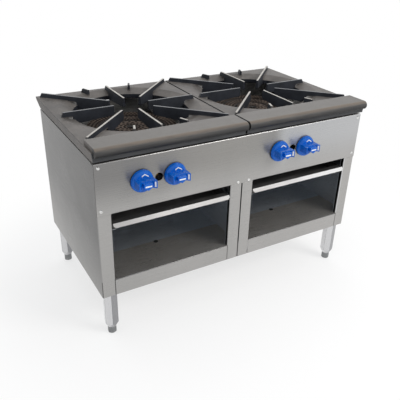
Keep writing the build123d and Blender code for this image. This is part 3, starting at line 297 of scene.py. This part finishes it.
def brushed_steel(name, dark, light):
    """Stainless sheet of the case: brushed grain, faint cloudiness, smudges and painted light and
    shade.
    """
    shade = Shade(name, Metallic=0.8, Anisotropic=0.6)
    fine = brushing(shade, along=9.0, across=2600.0)
    coarse = brushing(shade, along=2.5, across=420.0, detail=2.0, roughness=0.5)
    grain = shade.merge(fine, coarse, share=0.12)
    cloud = shade.noise(2.2, detail=4.0, roughness=0.55, stretch=(1.6, 1.6, 0.5))
    smudge = shade.noise(9.0, detail=6.0, roughness=0.7)
    tone = shade.merge(grain, cloud, share=0.5)
    colour = shade.tones(tone, dark, light, low=0.36, high=0.64)
    wear = shade.merge(grain, smudge, share=0.3)
    shade.put(Base_Color=case_tones(shade, colour), Tangent=brushed_tangent(shade),
              Roughness=shade.span(wear, 0.35, 0.68, to_low=0.24, to_high=0.36))
    shade.bump(grain, strength=0.05, distance=0.0002, edge=0.0006)
    return shade.material


def case_tones(shade, colour):
    """The case's sheets with painted light and shade: on the sides, in the bays, on the panel and
    folds.
    """
    x, y, z = shade.split(shade.place)
    outside = shade.span(shade.size_of(x), *OUTER_FACE)
    # painted shade: the outer sides pale at the foot and darker towards the top
    dull_and_shade = shade.ramp(shade.span(z, CASE_LOW, PANEL_HIGH.z), (0.0, srgb(210, 209, 208)),
                      (0.5, srgb(112, 111, 110)), (1.0, srgb(98, 97, 96)))
    colour = shade.tint(outside, colour, dull_and_shade)
    inside = shade.all_of(shade.span(y, *INSIDE_POSTS), shade.none_of(outside),
                          shade.span(z, *INSIDE_PANEL), shade.span(z, *INSIDE_FLOOR),
                          shade.span(y, *INSIDE_REAR))
    colour = shade.blend(inside, colour, bay_tones(shade, y, z))
    colour = panel_tones(shade, colour, x, y, z)
    # painted highlights on the rounded folds
    return shade.blend(folds(shade), colour, fold_highlights(shade, x, z))


def bay_tones(shade, y, z):
    """Inside the storage bays: cool painted shade, a warm painted lit strip at the floor's front,
    and painted shade on the walls behind the posts.
    """
    floor = shade.span(z, *FLOOR_FACE)
    lit_strip = shade.all_of(shade.span(y, *FLOOR_LIT_STRIP), floor)
    # painted light: a warm lit strip at the floor's front; cool painted shade on the rest of the
    # bays
    tone = shade.blend(lit_strip, srgb(212, 218, 225), srgb(200, 196, 191))
    # painted shade: a dark strip on the walls just behind the posts
    rim = shade.all_of(shade.span(y, *WALL_SHADE_STRIP), shade.none_of(floor))
    return shade.blend(rim, tone, srgb(34, 34, 36))


def panel_tones(shade, colour, x, y, z):
    """The control panel, fading in upwards: painted light along its length and a paler painted
    highlight on the right.
    """
    onto_panel = shade.all_of(shade.span(z, *PANEL_RISE, smooth=True), shade.span(y, *PANEL_FACE))
    across = shade.span(x, -HALF, HALF)
    # painted light: the panel darker at its left end and lighter towards the right
    light_along = shade.ramp(across, (0.0, srgb(198, 198, 199)), (0.15, srgb(200, 200, 200)),
                      (0.42, srgb(225, 224, 222)), (0.61, srgb(218, 218, 217)),
                      (1.0, srgb(236, 236, 237)))
    colour = shade.tint(onto_panel, colour, light_along)
    # painted highlight: paler, cooler steel towards the right end
    highlit = shade.all_of(onto_panel, shade.span(across, *PANEL_HIGHLIGHT, to_high=0.4, smooth=True))
    return shade.blend(highlit, colour, srgb(212, 215, 219))


def folds(shade):
    """1 on rounded folds, whose faces look along no axis, 0 on flat sheet."""
    x, y, z = shade.split(shade.vector("ABSOLUTE", shade.geometry("True Normal")))
    return shade.span(shade.any_of(shade.any_of(x, y), z), *FOLDED)


def fold_highlights(shade, x, z):
    """Painted highlights on the folds: brighter to the right, dark at the centre seam, dimmer at
    the bay floors' front.
    """
    tone = shade.ramp(shade.span(x, -HALF, HALF), (0.0, srgb(150, 149, 148)),
                      (0.45, srgb(166, 165, 164)), (0.85, srgb(208, 208, 208)))
    seam = shade.all_of(shade.span(shade.size_of(x), *SEAM), shade.span(z, *SEAM_TOP))
    tone = shade.blend(seam, tone, srgb(24, 24, 25))
    return shade.blend(shade.span(z, *FLOOR_FOLD), tone, srgb(104, 103, 102))


def tray_steel(name):
    """Drip tray: a lip with a painted highlight, brightest on the right, and a pan painted dark as
    shade, mottled and rougher.
    """
    shade = Shade(name, Metallic=0.75, Anisotropic=0.4)
    fine = brushing(shade, along=9.0, across=1800.0)
    stain = shade.noise(11.0, detail=6.0, roughness=0.65)
    x, y, _ = shade.split(shade.place)
    highlit = shade.tones(fine, srgb(140, 139, 138), srgb(160, 159, 158))
    # painted highlight: the lip brighter towards the right
    highlit = shade.blend(shade.span(x, *TRAY_HIGHLIGHT), highlit, srgb(194, 194, 194))
    # painted shade: the pan under the control panel painted dark
    pan_shade = shade.tones(stain, srgb(60, 59, 59), srgb(88, 86, 85))
    pan = shade.span(y, *TRAY_PAN)
    rough = shade.maths("ADD", shade.span(stain, 0.3, 0.7, to_low=0.36, to_high=0.5),
                        shade.maths("MULTIPLY", pan, 0.15))
    shade.put(Base_Color=shade.blend(pan, highlit, pan_shade), Roughness=rough,
              Tangent=brushed_tangent(shade))
    shade.bump(fine, strength=0.05, distance=0.0002, edge=0.0006)
    return shade.material


def galvanised(name, dark, light):
    """Zinc-coated sheet with a faint crystal pattern."""
    shade = Shade(name, Metallic=1.0)
    crystal = shade.add("ShaderNodeSeparateColor")
    shade.wire(crystal.inputs[0], shade.cells(110.0, output="Color"))
    dull_and_shade = shade.noise(14.0, detail=5.0, roughness=0.6)
    mixed = shade.merge(crystal.outputs[0], dull_and_shade, share=0.55)
    shade.put(Base_Color=shade.tones(mixed, dark, light, low=0.2, high=0.8),
              Roughness=shade.span(mixed, 0.1, 0.9, to_low=0.36, to_high=0.55))
    shade.bump(dull_and_shade, strength=0.05, distance=0.0003, edge=0.0006)
    return shade.material


def iron_skin(shade, mottle, grit, rough, edge):
    """Sandy surface of cast iron: its bump and roughness."""
    sand = shade.noise(900.0, detail=3.0, roughness=0.6)
    skin = shade.merge(sand, shade.cells(420.0), share=0.25)
    shade.put(Roughness=shade.span(shade.merge(skin, mottle, share=0.5), 0.3, 0.7, *rough))
    shade.bump(skin, strength=grit, distance=0.0006, edge=edge)


def iron_tone(shade, mottle, dark, light):
    """Mottled colour of cast iron."""
    broad = shade.noise(5.0, detail=3.0)
    return shade.tones(shade.merge(mottle, broad, share=0.4), dark, light, low=0.34, high=0.66)


def cast_iron(name, dark, light, rough, grit, edge):
    """Cast iron with a sandy skin, mottling and rubbed edges."""
    shade = Shade(name, Specular_IOR_Level=0.5)
    mottle = shade.noise(26.0, detail=5.0, roughness=0.62)
    colour = iron_tone(shade, mottle, dark, light)
    rubbed = shade.maths("MULTIPLY", shade.edges(edge * RUBBED_REACH), RUBBED_SHARE)
    shade.put(Base_Color=shade.blend(rubbed, colour, light))
    iron_skin(shade, mottle, grit, rough, edge)
    return shade.material


def top_iron(name):
    """Grey coated cast top: painted shade on upright faces, in the openings and on the nose; crowns
    bright from grinding, with painted light.
    """
    shade = Shade(name, Specular_IOR_Level=0.25)
    mottle = shade.noise(26.0, detail=5.0, roughness=0.62)
    place = shade.split(shade.place)
    up = shade.facing()[2]
    steep = shade.span(shade.size_of(up), *STEEP)
    colour = iron_tone(shade, mottle, srgb(70, 67, 65), srgb(108, 103, 99))
    colour = shade_crowns_and_ledge(shade, colour, mottle, place, up, steep)
    colour = nose_tones(shade, colour, place[1], up, steep)
    joint = shade.span(shade.size_of(place[0]), *TOPS_JOINT)
    shade.put(Base_Color=shade.blend(joint, colour, srgb(16, 16, 16)))
    iron_skin(shade, mottle, grit=0.3, rough=(0.42, 0.6), edge=0.0012)
    return shade.material


def shade_crowns_and_ledge(shade, colour, mottle, place, up, steep):
    """Painted shade on the supports' upright faces and below the dish's rim, the crowns, and the
    front ledge's top.
    """
    x, y, z = place
    beside = shade.maths("SUBTRACT", shade.size_of(x), SECTION_X)
    aside = shade.maths("MULTIPLY", beside, shade.maths("SIGN", x))
    along = shade.maths("SUBTRACT", y, BURNER_Y)
    away = shade.maths("SQRT", shade.maths("ADD", shade.maths("MULTIPLY", beside, beside),
                                           shade.maths("MULTIPLY", along, along)))
    behind = shade.span(y, *BEHIND_LEDGE)
    above = shade.any_of(shade.span(z, *ABOVE_PLATE), shade.span(away, *AT_OPENING))
    # painted shade: upright faces and everything below the dish's rim darkened
    shaded_upright = shade.all_of(steep, behind, above)
    recess_shade = shade.all_of(shade.span(z, *IN_DISH), behind, shade.span(away, *DISH_REACH))
    upright_shade_tone = shade.tones(mottle, srgb(30, 32, 37), srgb(46, 49, 56))
    colour = shade.blend(shade.any_of(shaded_upright, recess_shade), colour, upright_shade_tone)
    crown = shade.all_of(shade.span(z, *CREST), shade.span(up, *LEVEL))
    support = shade.all_of(crown, behind)
    colour = shade.blend(support, colour, crown_tone(shade, mottle, aside, along))
    ledge = shade.all_of(crown, shade.none_of(behind))
    return shade.blend(ledge, colour, srgb(108, 105, 102))


def crown_tone(shade, mottle, aside, along):
    """Supports' crowns: bright from grinding, with painted light by direction, black on the rear
    short ones.

    The bright ones run at 22.5 to 112.5 degrees from the range's width, seen from their burner's
    axis: there along * (along + 2 * aside) is more than aside squared.
    """
    # painted light: crowns at these directions painted bright as lit, the others grey as shaded
    turned = shade.maths("MULTIPLY", along,
                         shade.maths("ADD", along, shade.maths("MULTIPLY", aside, 2.0)))
    towards_light = shade.maths("GREATER_THAN", turned, shade.maths("MULTIPLY", aside, aside))
    dull_and_shade = shade.tones(mottle, srgb(104, 106, 110), srgb(132, 132, 133))
    bright = shade.tones(mottle, srgb(160, 156, 150), srgb(190, 186, 180))
    beside = shade.size_of(aside)
    short = shade.all_of(shade.span(beside, *SHORT_NEAR), shade.span(beside, *SHORT_FAR),
                         shade.span(along, *SHORT_REAR))
    return shade.blend(short, shade.blend(towards_light, dull_and_shade, bright), srgb(44, 43, 44))


def nose_tones(shade, colour, y, up, steep):
    """The bullnose: a face painted as shade, darkest below, a rubbed shoulder with a painted
    highlight, and the strip set back under it.
    """
    streak = shade.noise(1.0, detail=4.0, roughness=0.6, stretch=(14.0, 160.0, 160.0))
    # painted shade: the nose's face darker than its top, darkest where it turns down
    face = shade.tones(streak, srgb(54, 54, 55), srgb(78, 76, 74))
    face = shade.blend(shade.span(up, *TURNED_DOWN), face, srgb(30, 30, 31))
    before = shade.all_of(shade.span(y, *NOSE_FACE), shade.span(up, *TURNED_FORWARD))
    colour = shade.blend(before, colour, face)
    # the shoulder: rubbed wear together with a painted highlight
    rubbed = shade.all_of(shade.span(up, *TURNED_UP), shade.span(y, *NOSE_SHOULDER),
                          shade.span(streak, 0.35, 0.6, to_low=0.5))
    colour = shade.blend(rubbed, colour, srgb(112, 102, 92))
    apron = shade.all_of(steep, shade.span(y, *APRON_REAR), shade.span(y, *APRON_FRONT))
    return shade.blend(apron, colour, shade.tones(streak, srgb(54, 55, 57), srgb(70, 71, 73)))


def port_iron(name):
    """Brown scaled iron of the port plates, painted black as shade inside the ports."""
    shade = Shade(name, Specular_IOR_Level=0.06)
    mottle = shade.noise(40.0, detail=5.0, roughness=0.65)
    colour = iron_tone(shade, mottle, srgb(62, 54, 49), srgb(98, 86, 78))
    # painted shade: the ports' insides painted black
    recess_shade = shade.span(shade.split(shade.place)[2], *IN_PORT)
    shade.put(Base_Color=shade.blend(recess_shade, colour, srgb(8, 7, 7)))
    iron_skin(shade, mottle, grit=0.5, rough=(0.55, 0.8), edge=0.0004)
    return shade.material


def plated(name, dark, light, rough=(0.16, 0.3)):
    """Plated metal with faint tool marks and handling haze."""
    shade = Shade(name, Metallic=1.0)
    marks = shade.noise(1.0, detail=4.0, roughness=0.6, stretch=(700.0, 700.0, 60.0))
    haze = shade.noise(60.0, detail=5.0, roughness=0.65)
    tone = shade.merge(marks, haze, share=0.6)
    shade.put(Base_Color=shade.tones(tone, dark, light, low=0.32, high=0.68),
              Roughness=shade.span(tone, 0.3, 0.7, *rough))
    shade.bump(tone, strength=0.08, distance=0.0002, edge=0.0005)
    return shade.material


def leg_steel(name):
    """Bright drawn leg with painted light: each flat painted from light to dark by the way it
    faces, the corners darker.
    """
    shade = Shade(name, Metallic=0.85)
    drawn = shade.noise(1.0, detail=4.0, roughness=0.6, stretch=(900.0, 900.0, 14.0))
    # painted light: flats facing left painted bright, flats facing right painted dark
    tone = shade.maths("ADD", shade.span(shade.facing()[0], -1.0, 1.0),
                       shade.span(drawn, 0.3, 0.7, to_low=-0.05, to_high=0.05))
    colour = shade.ramp(tone, (0.05, srgb(222, 222, 223)), (0.5, srgb(168, 168, 170)),
                        (0.95, srgb(124, 125, 128)))
    shade.put(Base_Color=shade.blend(shade.edges(0.0022), colour, srgb(96, 97, 100)),
              Roughness=shade.span(drawn, 0.3, 0.7, to_low=0.24, to_high=0.32))
    shade.bump(drawn, strength=0.04, distance=0.0001)
    return shade.material


def moulded(name, dark, light, rough):
    """Glossy moulded plastic with a fine texture, a clear skin and paler handled edges."""
    shade = Shade(name, Coat_Weight=0.08, Coat_Roughness=0.2, Specular_IOR_Level=0.26)
    fine = shade.noise(1800.0, detail=2.0)
    flow = shade.noise(70.0, detail=4.0, roughness=0.6)
    handled = shade.maths("MULTIPLY", shade.edges(0.0012), HANDLED_SHARE)
    shade.put(Base_Color=shade.blend(handled, shade.tones(flow, dark, light), light),
              Roughness=shade.span(flow, 0.3, 0.7, *rough))
    shade.bump(fine, strength=0.04, distance=0.0001, edge=0.0009)
    return shade.material


MATERIALS = {
    "steel": brushed_steel("steel", srgb(160, 159, 157), srgb(173, 171, 169)),
    "tray": tray_steel("tray"),
    "zinc": galvanised("zinc", srgb(120, 124, 128), srgb(160, 163, 166)),
    "top_iron": top_iron("top_iron"),
    "burner_iron": cast_iron("burner_iron", srgb(30, 27, 26), srgb(46, 41, 39),
                             rough=(0.5, 0.75), grit=0.6, edge=0.001),
    "port_iron": port_iron("port_iron"),
    "knob": moulded("knob", srgb(0, 84, 178), srgb(0, 100, 202), rough=(0.2, 0.34)),
    "mark": moulded("mark", srgb(226, 228, 230), srgb(240, 241, 242), rough=(0.3, 0.45)),
    # dark finish of the plugs that stand in for the shade inside the bay floors' holes
    "hole_shade": cast_iron("hole_shade", srgb(24, 24, 25), srgb(38, 38, 38),
                        rough=(0.5, 0.7), grit=0.1, edge=0.0006),
    "leg": leg_steel("leg"),
    "foot": plated("foot", srgb(116, 118, 119), srgb(148, 149, 150), rough=(0.3, 0.5)),
    "screw": plated("screw", srgb(208, 208, 206), srgb(234, 234, 232)),
    "brass": plated("brass", srgb(150, 116, 52), srgb(196, 160, 84), rough=(0.25, 0.4)),
    "aluminium": plated("aluminium", srgb(176, 178, 180), srgb(204, 206, 208), rough=(0.3, 0.45)),
    "pipe": cast_iron("pipe", srgb(30, 30, 31), srgb(52, 51, 50),
                      rough=(0.4, 0.6), grit=0.2, edge=0.0006),
}
FINISHES = {  # how the names of the nodes in each finish start
    "steel": ("outer_side", "inner_side", "control_panel", "bottom_shelf", "back_panel"),
    "tray": ("drip_tray",),
    "zinc": ("tray_runners", "burner_rail", "leg_plates"),
    "top_iron": ("top_casting",),
    "burner_iron": ("burner_left", "burner_right", "pilot_burner"),
    "knob": ("knob",),
    "leg": ("leg_front", "leg_rear"),
    "foot": ("foot", "air_shutter"),
    "screw": ("panel_screws", "back_screws", "joining_bolts", "valve_stem"),
    "brass": ("gas_valve", "orifice_spuds", "pilot_valve"),
    "aluminium": ("pilot_tube",),
    "pipe": ("gas_manifold", "inlet_elbow", "inlet_pipe"),
}


def finish_nodes():
    """Give every CAD node its material."""
    for name, node in NODES.items():
        chosen = [finish for finish, starts in FINISHES.items() if name.startswith(starts)]
        assert len(chosen) == 1, name
        if not node.material_slots:
            node.data.materials.append(None)
        for slot in node.material_slots:
            slot.material = MATERIALS[chosen[0]]


# ---- pieces ------------------------------------------------------------------------------------
LATHE_STEPS = 32
CORNER_STEPS = 4


def piece(name, mesh, material, body):
    """A finished piece from a bmesh, riding on a body."""
    data = bpy.data.meshes.new(name)
    bmesh.ops.recalc_face_normals(mesh, faces=mesh.faces)
    mesh.to_mesh(data)
    mesh.free()
    data.materials.append(MATERIALS[material])
    made = bpy.data.objects.new(name, data)
    bpy.context.scene.collection.objects.link(made)
    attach(made, body)


def rounded_bar(x, z, width, height, radius):
    """Outline of a bar with rounded corners, its middle at (x, z)."""
    points = []
    for turn, (to_x, to_z) in enumerate(((1, 1), (-1, 1), (-1, -1), (1, -1))):
        for step in range(CORNER_STEPS + 1):
            angle = math.pi / 2 * (turn + step / CORNER_STEPS)
            points.append((x + to_x * (width / 2 - radius) + radius * math.cos(angle),
                           z + to_z * (height / 2 - radius) + radius * math.sin(angle)))
    return points


def lathe(mesh, profile, place):
    """A solid turned around z from (radius, height) points; the first and last are on the axis."""
    rings = []
    for radius, height in profile:
        if radius == 0:
            rings.append([mesh.verts.new(place(0.0, 0.0, height))])
            continue
        ring = []
        for index in range(LATHE_STEPS):
            angle = 2 * math.pi * index / LATHE_STEPS
            ring.append(mesh.verts.new(place(radius * math.cos(angle), radius * math.sin(angle),
                                             height)))
        rings.append(ring)
    for lower, upper in zip(rings, rings[1:]):
        for index in range(LATHE_STEPS):
            after = (index + 1) % LATHE_STEPS
            corners = [lower[index % len(lower)], lower[after % len(lower)],
                       upper[after % len(upper)], upper[index % len(upper)]]
            mesh.faces.new(list(dict.fromkeys(corners)))


# ---- knobs: places on the dial are (right, up) from the knob's axis, in millimetres --------------
CHEVRON = ((-6.0, 16.4), (2.8, 21.2), (14.0, 13.8), (14.0, 17.4), (2.8, 24.6), (-6.0, 20.0))
GRIP_BAR = (0.0, 1.2), (19.0, 4.0)  # its middle and its size
END_LINE = (21.5, 2.0), (3.2, 15.0)
BAR_CORNER = 0.8
HUB_FACE = 15.5 * MM  # in front of the control panel
SCOOP_FACE = 35.0 * MM
SCOOP_END = 14.0 * MM  # from the knob's axis
SCOOP_SLOPE = 9.5 / 11.0
MARK_DEPTH = 0.25 * MM


def printed(mesh, outline, surface):
    """A closed thin skin over an outline of (x, z) points on a face whose y is surface(x)."""
    near = [mesh.verts.new((x, surface(x) - MARK_DEPTH, z)) for x, z in outline]
    far = [mesh.verts.new((x, surface(x) + MARK_DEPTH, z)) for x, z in outline]
    mesh.faces.new(near)
    mesh.faces.new(far[::-1])
    count = len(outline)
    for index in range(count):
        after = (index + 1) % count
        mesh.faces.new((near[index], far[index], far[after], near[after]))


def dial_bar(middle, bar):
    """Outline of a bar on the dial whose axis is at middle."""
    (right, up), (width, height) = bar
    return rounded_bar(middle.x + right * MM, middle.z + up * MM, width * MM, height * MM,
                       BAR_CORNER * MM)


def knob_marks(side, control):
    """Plain white pointer, bar and end line printed on a knob."""
    middle = middle_of(f"knob_{side}_{control}")
    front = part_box(f"knob_{side}_{control}")[0].y
    mesh = bmesh.new()
    chevron = [(middle.x + right * MM, middle.z + up * MM) for right, up in CHEVRON]
    printed(mesh, chevron, lambda x: FRONT - HUB_FACE)
    printed(mesh, dial_bar(middle, GRIP_BAR), lambda x: front)
    printed(mesh, dial_bar(middle, END_LINE),
            lambda x: FRONT - SCOOP_FACE - (x - middle.x - SCOOP_END) * SCOOP_SLOPE)
    piece(f"knob_marks_{side}_{control}", mesh, "mark", f"control_{side}_{control}")


# ---- dark plugs, painted shade in the bay floors' holes: (radius, height over the bay floor), in millimetres ---
PLUG_PROFILE = ((0.0, -2.5), (5.8, -2.5), (5.8, 0.0), (7.6, 0.0), (7.6, 0.5), (6.6, 1.1),
                (3.6, 1.3), (0.0, 1.35))
PLUG_SETBACK = 128.6 * MM


def hole_shade_plug(side):
    """Dark plug in the small hole of a bay floor, put there as painted shade for the hole."""
    shelf = middle_of(f"bottom_shelf_{side}")
    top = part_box(f"bottom_shelf_{side}")[1].z
    mesh = bmesh.new()
    profile = [(radius * MM, height * MM) for radius, height in PLUG_PROFILE]
    lathe(mesh, profile, lambda u, v, h: (shelf.x + u, FRONT + PLUG_SETBACK + v, top + h))
    piece(f"hole_shade_plug_{side}", mesh, "hole_shade", "root")


# ---- burner ports, in millimetres ---------------------------------------------------------------
RINGS = ((35.0, 14), (80.0, 42), (125.0, 66))  # each ring's radius and its ports in a row
ROWS = (-11.5, 0.0, 11.5)  # from the ring's radius
ROW_HALF = 5.75
PLATE_HALF = 17.25
PORT_SIZE = 4.8
PORT_SIDES = 8
PIT_FLOOR = 0.1
PIT_TAPER = 0.9


def port_ring(mesh, centre, base, radius, count):
    """A closed annular plate whose rows of eight-sided ports are staggered like a honeycomb."""
    step = math.pi / count
    known = {}

    def corner(distance, turn, height):
        turn %= 2 * count
        key = round(distance, 3), turn, height
        if key not in known:
            angle = step * turn
            known[key] = mesh.verts.new((centre[0] + distance * MM * math.cos(angle),
                                         centre[1] + distance * MM * math.sin(angle),
                                         base + height * MM))
        return known[key]

    for row, offset in enumerate(ROWS):
        middle = radius + offset
        near, far = middle - ROW_HALF, middle + ROW_HALF
        rim = ((far, 1), (far, 0), (far, -1), (middle, -1), (near, -1), (near, 0), (near, 1),
               (middle, 1))
        for index in range(count):
            turn = 2 * index + row % 2
            cell = [corner(distance, turn + aside, CAP_RISE) for distance, aside in rim]
            angle = step * turn
            x = centre[0] + middle * MM * math.cos(angle)
            y = centre[1] + middle * MM * math.sin(angle)
            ways = [angle + 2 * math.pi / PORT_SIDES * (1 - facet) for facet in range(PORT_SIDES)]
            mouth, pit = ([mesh.verts.new((x + size * MM * math.cos(way),
                                           y + size * MM * math.sin(way), base + height * MM))
                           for way in ways]
                          for height, size in ((CAP_RISE, PORT_SIZE),
                                               (PIT_FLOOR, PIT_TAPER * PORT_SIZE)))
            mesh.faces.new(pit)
            for facet in range(PORT_SIDES):
                after = (facet + 1) % PORT_SIDES
                mesh.faces.new((cell[facet], cell[after], mouth[after], mouth[facet]))
                mesh.faces.new((mouth[facet], mouth[after], pit[after], pit[facet]))
    inner, outer = radius - PLATE_HALF, radius + PLATE_HALF
    for turn in range(2 * count):
        for distance in (inner, outer):
            mesh.faces.new([corner(distance, turn, CAP_RISE), corner(distance, turn + 1, CAP_RISE),
                            corner(distance, turn + 1, 0), corner(distance, turn, 0)])
        mesh.faces.new([corner(inner, turn, 0), corner(inner, turn + 1, 0),
                        corner(outer, turn + 1, 0), corner(outer, turn, 0)])


def burner_ports(side):
    """Port plates on a burner's rings, covered in small round ports."""
    low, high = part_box(f"burner_{side}")
    reach = (high.x - low.x) / 2
    centre = (low.x + high.x) / 2, high.y - reach
    mesh = bmesh.new()
    for radius, count in RINGS:
        port_ring(mesh, centre, high.z, radius, count)
    piece(f"burner_ports_{side}", mesh, "port_iron", "root")


finish_nodes()
for side in SIDES:
    hole_shade_plug(side)
    burner_ports(side)
    for control in CONTROLS:
        knob_marks(side, control)


# ---- stage -------------------------------------------------------------------------------------
FLOOR_REACH = 15.0
FLOOR_FADE = 0.62, 1.15  # metres from under the object, those along y counted longer
FADE_STRETCH = (1.0, 1.25, 0.0)
FLOOR_WHITE = 0.66, 1.0  # share of plain white before and after the fade
WORLD_COLOUR = (0.97, 0.985, 1.0, 1.0)
WORLD_LEVEL = 0.72  # of the studio walls as a light
LAMPS = (  # name, place, target, size, watts, colour
    ("key", (1.5, -2.3, 2.4), (0.0, 0.0, 0.4), (1.4, 1.0), 45, (1.0, 0.98, 0.95)),
    ("overhead", (0.2, 0.4, 3.0), (0.0, 0.0, 0.5), (2.6, 2.0), 16, (1.0, 1.0, 1.0)),
    ("rear", (1.4, 2.6, 1.7), (0.0, 0.0, 0.55), (2.6, 1.2), 8, (1.0, 1.0, 1.0)),
)
CAMERA_PLACE = (-0.8262, -1.3805, 1.1031)
CAMERA_ANGLES = (-30.88, 27.98, 1.72)  # azimuth, elevation and roll in degrees
CAMERA_LENS = 46.73
CAMERA_SHIFT = -0.003
CAMERA_SENSOR = 36.0
CAMERA_REACH = 60.0


def backdrop_rays(shade):
    """1 for rays that show the backdrop as it is: from the camera, from gloss or through glass."""
    path = shade.add("ShaderNodeLightPath")
    seen = shade.any_of(path.outputs["Is Camera Ray"], path.outputs["Is Glossy Ray"])
    return shade.any_of(seen, path.outputs["Is Transmission Ray"])


def make_floor():
    """Plain pale floor under the legs, fading into the white backdrop."""
    mesh = bmesh.new()
    bmesh.ops.create_grid(mesh, x_segments=1, y_segments=1, size=FLOOR_REACH)
    data = bpy.data.meshes.new("floor")
    mesh.to_mesh(data)
    mesh.free()
    shade = Shade("floor", Roughness=0.9, Specular_IOR_Level=0.0)
    cloud = shade.noise(0.6, detail=2.0)
    shade.put(Base_Color=shade.tones(cloud, srgb(251, 251, 251), srgb(253, 253, 253)))
    flat = shade.vector("MULTIPLY", shade.place, FADE_STRETCH)
    away = shade.vector("LENGTH", flat, output="Value")
    fade = shade.span(away, *FLOOR_FADE, *FLOOR_WHITE, smooth=True)
    glow = shade.add("ShaderNodeEmission")
    mixed = shade.add("ShaderNodeMixShader")
    parts = (shade.all_of(fade, backdrop_rays(shade)), shade.shader.outputs[0], glow.outputs[0])
    for socket, part in zip(mixed.inputs, parts):
        shade.wire(socket, part)
    shade.wire(shade.output.inputs["Surface"], mixed.outputs[0])
    data.materials.append(shade.material)
    floor = bpy.data.objects.new("floor", data)
    bpy.context.scene.collection.objects.link(floor)


def make_world():
    """Studio walls: white where they are seen or mirrored, softer as a light."""
    world = bpy.data.worlds.new("studio")
    world.use_nodes = True
    tree = world.node_tree
    backdrop = tree.nodes["Background"]
    backdrop.inputs["Color"].default_value = WORLD_COLOUR
    path = tree.nodes.new("ShaderNodeLightPath")
    level = tree.nodes.new("ShaderNodeMapRange")
    level.inputs["To Min"].default_value = 1.0
    level.inputs["To Max"].default_value = WORLD_LEVEL
    tree.links.new(path.outputs["Is Diffuse Ray"], level.inputs["Value"])
    tree.links.new(level.outputs[0], backdrop.inputs["Strength"])
    bpy.context.scene.world = world


def soft_lamp(name, place, target, size, power, colour):
    """A large area lamp that the camera doesn't see."""
    data = bpy.data.lights.new(name, "AREA")
    data.shape = "RECTANGLE"
    data.size, data.size_y = size
    data.energy = power
    data.color = colour
    lamp = bpy.data.objects.new(name, data)
    direction = Vector(target) - Vector(place)
    turn = direction.to_track_quat("-Z", "Y").to_matrix().to_4x4()
    lamp.matrix_world = Matrix.Translation(place) @ turn
    lamp.visible_camera = False
    bpy.context.scene.collection.objects.link(lamp)


def make_camera():
    """The photograph's camera, solved from the straight edges of the case."""
    azimuth, elevation, roll = (math.radians(angle) for angle in CAMERA_ANGLES)
    back = Vector((math.sin(azimuth) * math.cos(elevation),
                   -math.cos(azimuth) * math.cos(elevation), math.sin(elevation)))
    right = Vector((math.cos(azimuth), math.sin(azimuth), 0.0))
    turned = math.cos(roll) * right + math.sin(roll) * back.cross(right)
    data = bpy.data.cameras.new("camera")
    data.sensor_fit = "HORIZONTAL"
    data.sensor_width = CAMERA_SENSOR
    data.lens = CAMERA_LENS
    data.shift_x = CAMERA_SHIFT
    data.clip_end = CAMERA_REACH
    camera = bpy.data.objects.new("camera", data)
    axes = Matrix((turned, back.cross(turned), back)).transposed().to_4x4()
    camera.matrix_world = Matrix.Translation(CAMERA_PLACE) @ axes
    bpy.context.scene.collection.objects.link(camera)
    bpy.context.scene.camera = camera


make_floor()
make_world()
for lamp in LAMPS:
    soft_lamp(*lamp)
make_camera()
bpy.context.scene.view_settings.view_transform = "Standard"
